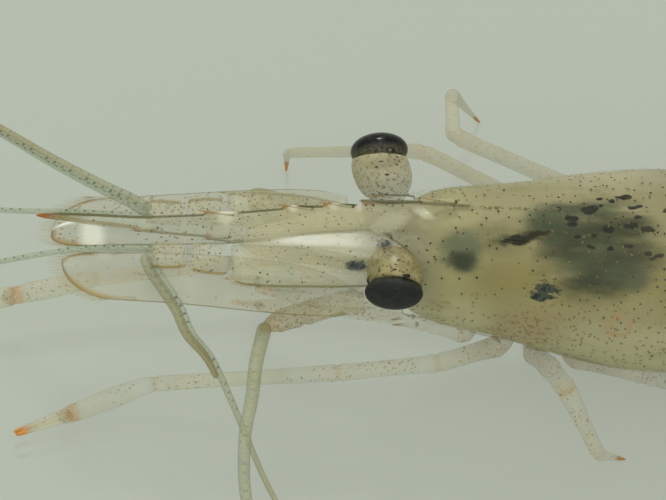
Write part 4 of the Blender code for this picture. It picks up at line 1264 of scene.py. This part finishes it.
def legPath(joints, side):    # straight lengths with a short bend at each joint, and where the joints lie
    places = [onSide(side, joint) for joint in joints]
    path, bends = [places[0]], [0]
    for i in range(1, len(places)):
        before, here = places[i - 1], places[i]
        for share in (0.25, 0.5, 0.72):
            path.append(before.lerp(here, share))
        if i < len(places) - 1:
            start, end = here.lerp(before, legs["bend"]), here.lerp(places[i + 1], legs["bend"] * 0.7)
            path += [start, (start + end + 3 * here) / 5, end]
            bends.append(len(path) - 2)
        else:
            path.append(here)
            bends.append(len(path) - 1)
    return smoothPath(path, legs["steps"]), [bend * legs["steps"] for bend in bends]


def legShape(joints, side, swell):    # path, radius and joint colour along a leg, and its length
    path, bends = legPath(joints, side)
    run = lengths(path)
    marks, total = [run[bend] for bend in bends], run[-1]
    radii = [joint[3] for joint in joints]

    def size(share):
        place = share * total
        i = 0
        while i < len(marks) - 2 and place > marks[i + 1]:
            i += 1
        t = min(1.0, max(0.0, (place - marks[i]) / (marks[i + 1] - marks[i])))
        radius = radii[i] + (radii[i + 1] - radii[i]) * t
        radius *= 1 + (swell if i == len(marks) - 2 else legs["swell"]) * math.sin(math.pi * t)
        for mark in marks[1:-1]:
            radius *= pinch(abs(place - mark), 0.06, 0.17, 0.09)
        return radius

    def tip(share):
        gaps = [share * total - mark for mark in marks[1:-1]]
        return 0.55 * max((math.exp(-(gap / 0.13) ** 2) for gap in gaps), default=0.0)

    return path, size, tip, total


def oneOf(table, name, letter):    # a row that both sides share, or the side's own
    rows = table[name]
    return rows[letter] if isinstance(rows, dict) else rows


def rooted(name, letter):    # joints of a leg with one more inside the chest
    joints = oneOf(legs, name, letter)
    x, out, height, radius = joints[0]
    return ((x + 0.15, 0.5 * out, height + 0.75, radius * 0.9), *joints)


def makeWalkingLeg(name, letter, look):
    joints = legs[name] if name == "maxilliped" else rooted(name, letter)
    path, size, tip, total = legShape(joints, sides[letter], legs["swell"])
    dactyl = legs["dactyl"] / total
    skin = tube(Skin(), path, size, legs["facets"],
                tip=lambda s: max(tip(s), 0.95 * min(1.0, max(0.0, 1.7 * (s - 1 + dactyl) / dactyl))))
    skin.piece(f"{name}{letter}", look, "limb", (f"{name}_{letter}",))


def makeClawLeg(name, letter, look):
    side = sides[letter]
    joints = rooted(name, letter)
    palm, point, wide, parting = oneOf(legs["claws"], name, letter)
    path, size, tip, _ = legShape((*joints, (*palm, wide * 0.78)), side, legs["palmSwell"])
    skin = tube(Skin(), path, size, legs["facets"],
                tip=lambda s: max(tip(s), 0.95 * max(0.0, 1 - abs(s - 0.985) / 0.02)))
    wrist, palm, point, parting = (onSide(side, place) for place in (joints[-1], palm, point, parting))
    reach = point - palm
    for way in (1, -1):
        root = palm.lerp(wrist, 0.01) + 0.62 * way * parting
        finger = smoothPath([root, root + 0.35 * reach + 0.18 * way * parting,
                             root + 0.75 * reach + 0.1 * way * parting, point + 0.75 * way * parting,
                             point + 0.03 * reach + 0.45 * way * parting], 10)
        tube(skin, finger, lambda s: wide * 0.5 * (1 - 0.74 * s**1.7), 16,
             tip=lambda s: max(0.0, 1 - s / 0.15) * 0.6 + min(1.0, max(0.0, (s - 0.48) / 0.4)))
    skin.piece(f"{name}{letter}", look, "limb", (f"{name}_{letter}",))


def limbLook():
    paint = Paint("limbLook", Specular_IOR_Level=0.3)
    x, out, z, tipped = paint.x, abs(paint.y), paint.z, paint.made("tip")
    elbow = x.ease(-1.8, -2.4) * x.ease(-4.1, -3.9) * out.ease(1.2, 1.4) * z.ease(2.9, 3.2)
    hips = x.ease(1.5, 2.5) * x.ease(6.5, 5.5) * out.ease(2.4, 1.4)
    hidden = out.ease(1.1, 0.9) * x.ease(2.4, 1.6) * z.ease(1.5, 1.8)    # those under the head
    away = paint.y.ease(1.6, 3.0)
    rust, _ = paint.dots(0.15, 0.042)
    rust = rust * paint.cloud(1.1).ease(0.44, 0.56).most(elbow, hips, z.ease(3.0, 3.3) * 0.8)
    black, _ = paint.dots(0.42, 0.024, paint.moved(4.0, 4.0, 4.0))
    grains = paint.cloud(0.09, 3.0).ease(0.55, 0.62) * elbow
    base = paint.over(
        paint.mix((208, 201, 160), (196, 188, 142), paint.cloud(0.9).ease(0.35, 0.65)),
        ((196, 212, 204), paint.cloud(1.6).ease(0.5, 0.7) * 0.6),
        ((182, 170, 124), hips.most(elbow) * (0.4 + 0.4 * paint.cloud(0.5).ease(0.4, 0.6))),
        (paint.mix((154, 126, 70), (116, 82, 40), elbow), rust * 0.9),
        ((184, 176, 130), away * 0.6),
        ((140, 100, 46), grains * 0.85),
        ((50, 46, 36), black * 0.8),
        (paint.mix((186, 152, 78), (220, 146, 54), tipped.ease(0.55, 0.95)), tipped.ease(0.0, 0.8)),
    )
    glass = 0.17 + 0.12 * paint.cloud(0.7) + 0.24 * elbow + 0.1 * hips + 0.07 * away
    bands = tipped.ease(0.15, 0.7) * 0.36 * (1 - hidden) * (1 - 0.6 * hips)
    ends = tipped.ease(0.55, 1.0) * 0.8 * (1 - 0.95 * hidden)
    solid = (glass * (1 - 0.4 * hidden)).most(rust * 0.6, black * 0.7, grains * 0.6, bands, ends)
    return paint.done(base, solid, 0.32 + 0.1 * paint.cloud(0.4), paint.cloud(0.2), 0.015, 0.5)


def makeLimbs(look):
    for letter in sides:
        makeWalkingLeg("maxilliped", letter, look)
        for name in ("leg1", "leg2"):
            makeClawLeg(name, letter, look)
        for name in ("leg3", "leg4", "leg5"):
            makeWalkingLeg(name, letter, look)


# the six rings of the hind body, overlapping like tiles
hind = {
    # for each ring: overlap at the front, overlap at the back, how far the side flap hangs
    "rings": ((0.1, 0.05, 0.1), (0.45, 0.3, 0.3), (0.05, 0.32, 0.26), (0.05, 0.3, 0.22),
              (0.05, 0.28, 0.2), (0.05, 0.1, 0.0)),
    "widest": 2,    # the ring whose flaps lie over both of its neighbours
    "reach": 132.0, "flapStart": 62.0, "flapEnd": 112.0,    # degrees from the ridge
    "rows": 44, "columns": 110, "thick": 0.04,
    # how far each ring reaches past its ends at the ridge, and how far it is tucked under the one ahead
    "lead": 0.04, "trail": 0.08, "tuck": 0.12,
    # size beside the flesh, how much wider its hind edge and narrower its front edge is, how
    # far the widest ring's flaps stand over the others, and how far all flaps bulge
    "size": 0.985, "flare": 0.03, "under": 0.025, "over": 0.02, "bulge": 0.02,
}


def makeHind(look):
    stations = [row[0] for row in flesh["hind"]]
    for number, (start, end) in enumerate(zip(stations, stations[1:]), 1):
        front, back, flap = hind["rings"][number - 1]
        widest = number == hind["widest"]
        rings = []
        for i in range(hind["rows"] + 1):
            share = i / hind["rows"]
            ring = []
            for turn in spread(hind["columns"], hind["reach"], 0.9):
                side = (abs(turn) - hind["flapStart"]) / (hind["flapEnd"] - hind["flapStart"])
                side = min(1.0, max(0.0, side))
                ease = side * side * (3 - 2 * side)
                lead = hind["lead"] + (front * ease if widest else hind["tuck"])
                trail = hind["trail"] + back * (0.25 + 0.75 * ease)
                x = start - lead + (end - start + lead + trail) * share
                half, top, height, depth = readTable(flesh["hind"], min(max(x, start - 0.2), stations[-1]))
                full = hind["size"] + hind["flare"] * share**3
                full += hind["over"] * ease if widest else -hind["under"] * max(0.0, 1 - share / 0.15)
                hang = 1.0 + flap * ease * math.sin(math.pi * min(1.0, 0.08 + 0.84 * share)) ** 0.7
                wide = half * full * (1 + hind["bulge"] * ease)
                ring.append(ovalPoint(x, top - height, wide, height * full, depth * hang, *hindFullness,
                                      turn))
            rings.append(ring)

        def rim(i, k):
            return nearest(rings[i][k], rings[-1][k], rings[i][0], rings[i][-1])

        skin = Skin().loft(rings, closed=False, rim=rim)
        skin.piece(f"abdomen{number}", look, "shell", (f"abdomen_{number}",), thick=hind["thick"])


# the tail fan: plates that slope from their roots to the ground
fan = {
    "root": (28.1, 0.0, 1.75), "floor": 0.2, "flat": 0.83, "thick": 0.07, "arch": 0.16,
    "rows": 70, "columns": 34,
    # distance out: one edge, the other edge
    "telson": ((-0.25, -0.66, 0.66), (0.8, -0.6, 0.6), (3.0, -0.47, 0.47), (4.6, -0.33, 0.33),
               (5.1, -0.25, 0.25), (5.26, -0.08, 0.08)),
    "inner": ((-0.1, -0.16, 0.16), (0.7, -0.32, 0.38), (2.2, -0.66, 0.6), (3.5, -0.84, 0.78),
              (4.4, -0.72, 0.68), (4.8, -0.46, 0.44), (5.0, -0.1, 0.1)),
    "outer": ((-0.1, -0.18, 0.18), (0.8, -0.4, 0.52), (2.4, -0.74, 0.78), (3.9, -1.02, 0.9),
              (4.7, -0.96, 0.8), (5.2, -0.62, 0.54), (5.45, -0.16, 0.14)),
    # root beside the telson's, how far it is turned out, in degrees, level over the telson
    "inner place": ((0.0, 0.8, -0.14), 11.0), "outer place": ((-0.05, 1.32, -0.4), 30.0),
    # spines of the telson: distance out, from the middle, its share of the half width, size and direction
    "spines": ((3.1, 0.34, 0.75, 0.03, (0.3, 0.05)), (4.2, 0.27, 0.75, 0.03, (0.3, 0.05)),
               (5.15, 0.2, 0.8, 0.025, (0.175, 0.0)), (5.15, 0.1, 0.8, 0.025, (0.275, 0.0))),
    "rib": (0.05, 0.1, 0.09),    # height, place across as a share of the half width, and width
    "outer spine": ((4.5, 0.8, 0.95), (0.42, 0.03), 0.05),    # place, reach along and across, radius
    "hairs": {"length": 0.55, "apart": 0.045}, "bare": 0.12,    # bare: share of the length without hairs
}


def leaf(skin, outline, place, rows, columns, thick):    # a thin plate; gives back its upper side
    first, last = outline[0][0], outline[-1][0]
    outs = [first + (last - first) * math.sin(math.pi / 2 * i / rows) for i in range(rows + 1)]
    top = []
    for out in outs:
        low, high = readTable(outline, out)
        shares = [k / columns for k in range(columns + 1)]
        top.append([place(out, low + (high - low) * share, 2 * share - 1) for share in shares])
    rings, rim = plateRings(top, thick, 0.2, (-1,))
    for ring in rings:
        for point in ring:
            point.z = max(point.z, 0.0)
    skin.loft(rings, rim=rim, along=lambda i, k: outs[i] / last)
    return top


def edgeOf(top, start):    # the outline of a plate from a share of its length, round its end and back
    first = round((len(top) - 1) * start)
    return [row[0] for row in top[first:]] + top[-1][1:-1] + [row[-1] for row in reversed(top[first + 1:])]


def makeFan(look, shell, hairs):
    rootX, _, rootZ = fan["root"]
    plates = [("telson", "telson", ("telson",), 1, (0, 0, 0), 0.0)]
    for kind in ("inner", "outer"):
        for letter, side in sides.items():
            node = f"uropod_{kind}_{letter}"
            plates.append((kind, f"uropod{kind.title()}{letter}", (node,), side, *fan[f"{kind} place"]))
    for kind, name, nodes, side, offset, turn in plates:
        root = Vector((rootX + offset[0], side * offset[1], rootZ + offset[2]))
        angle = math.radians(side * turn)
        heading = Vector((math.cos(angle), math.sin(angle), 0))
        across = Vector((-math.sin(angle), math.cos(angle), 0))
        outline = fan[kind]
        run = fan["flat"] * outline[-1][0]

        def place(out, away, share):
            point = root + heading * out + across * away * side
            slope = max(0.0, 1 - out / run)
            level = fan["floor"] + (root.z - fan["floor"]) * slope
            point.z = level + fan["arch"] * (1 - share * share) - 0.08
            if kind != "telson":
                high, middle, wide = fan["rib"]
                point.z += high * math.exp(-((share - middle) / wide) ** 2)
            return point

        skin = Skin()
        top = leaf(skin, outline, place, fan["rows"], fan["columns"], fan["thick"])
        if kind == "telson":
            for out, away, share, radius, (long, rise) in fan["spines"]:
                for way in (1, -1):
                    spot = place(out, way * away, way * share)
                    thorn(skin, spot, spot + Vector((long, 0.02 * way, rise)), radius, 0.3)
            skin.piece(name, shell, "shell", nodes)
            continue
        if kind == "outer":
            at, (along, out), radius = fan["outer spine"]
            spot = place(*at)
            thorn(skin, spot, spot + heading * along + across * side * out, radius, 0.4)
        skin.piece(name, look, "clear", nodes)
        middle = root + heading * 2.4

        def lean(spot):
            away = (spot - middle) * Vector((1, 1, 0))
            return (away.normalized() * 0.5 + heading).normalized()

        fringe(f"{name}Hairs", edgeOf(top, fan["bare"]), lean, hairs, "clear", **fan["hairs"])


# swimming legs: a stem and two leaf-shaped blades with fringes
swimmer = {
    "lengths": (1.9, 2.5, 2.5, 2.3, 1.9), "out": 0.78, "place": 0.45, "drop": 0.42, "swell": 1.08,
    "stem": 0.28, "fall": 0.22, "tipLevel": 0.35, "apart": 0.26, "radius": 0.24, "middle": 0.06,
    # distance out: one edge, the other edge
    "blade": ((-0.05, -0.08, 0.08), (0.2, -0.2, 0.2), (0.5, -0.27, 0.27), (0.8, -0.17, 0.17),
              (0.93, -0.09, 0.09), (0.97, -0.02, 0.02)),
    "rows": 30, "columns": 14, "thick": 0.05,
    "hairs": {"length": 0.42, "apart": 0.05, "radius": 0.008}, "bare": 0.15,
}


def makeSwimmer(number, letter, side, look, hairs):
    front, back = flesh["hind"][number - 1], flesh["hind"][number]
    x, _, top, height, depth = (a + swimmer["place"] * (b - a) for a, b in zip(front, back))
    length = swimmer["lengths"][number - 1]
    high = Vector((x, side * swimmer["out"], top - height - depth * swimmer["swell"] - swimmer["drop"]))
    low = high + Vector((swimmer["stem"] * length, 0, -swimmer["fall"] * high.z))
    skin = tube(Skin(), smoothPath([high + Vector((-0.1, -0.1 * side, 0.5)), high, low], 8),
                lambda s: swimmer["radius"] + swimmer["middle"] * math.sin(math.pi * s), 20,
                tip=lambda s: 0.3 * s**6)
    reach = Vector(((1 - swimmer["stem"]) * length, 0, swimmer["tipLevel"] - low.z))
    middle, heading = low + reach * 0.3, reach.normalized()
    tops = []
    for way in (1, -1):
        def place(out, away, share):
            point = low + reach * out + Vector((0, way * swimmer["apart"] * min(1.0, 0.4 + out) + away, 0))
            point.z += 0.05 * (1 - share * share) - 0.02
            return point

        tops.append(leaf(skin, swimmer["blade"], place, swimmer["rows"], swimmer["columns"],
                         swimmer["thick"]))

    def lean(spot):
        return ((spot - middle).normalized() * 0.55 + heading).normalized()

    skin.piece(f"pleopod{number}{letter}", look, "limb", (f"pleopod_{number}_{letter}",))
    for k, top in enumerate(tops):
        fringe(f"pleopodHairs{number}{letter}{k}", edgeOf(top, swimmer["bare"]), lean, hairs, "limb",
               **swimmer["hairs"])


def makeRest(shell, plate, hairs):
    look, limb, thread = footingLook(), limbLook(), feelerLook()
    for letter, side in sides.items():
        makeFooting(letter, side, look)
        makeFeelers(letter, thread)
        makeAntennaBase(letter, side, limb)
    print("feelers made")
    makeLimbs(limb)
    print("legs made")
    makeHind(shell)
    makeFan(plate, shell, hairs)
    for letter, side in sides.items():
        for number in range(1, 6):
            makeSwimmer(number, letter, side, limb, hairs)
    print("hind body made")


makeRest(shell, plate, hair)
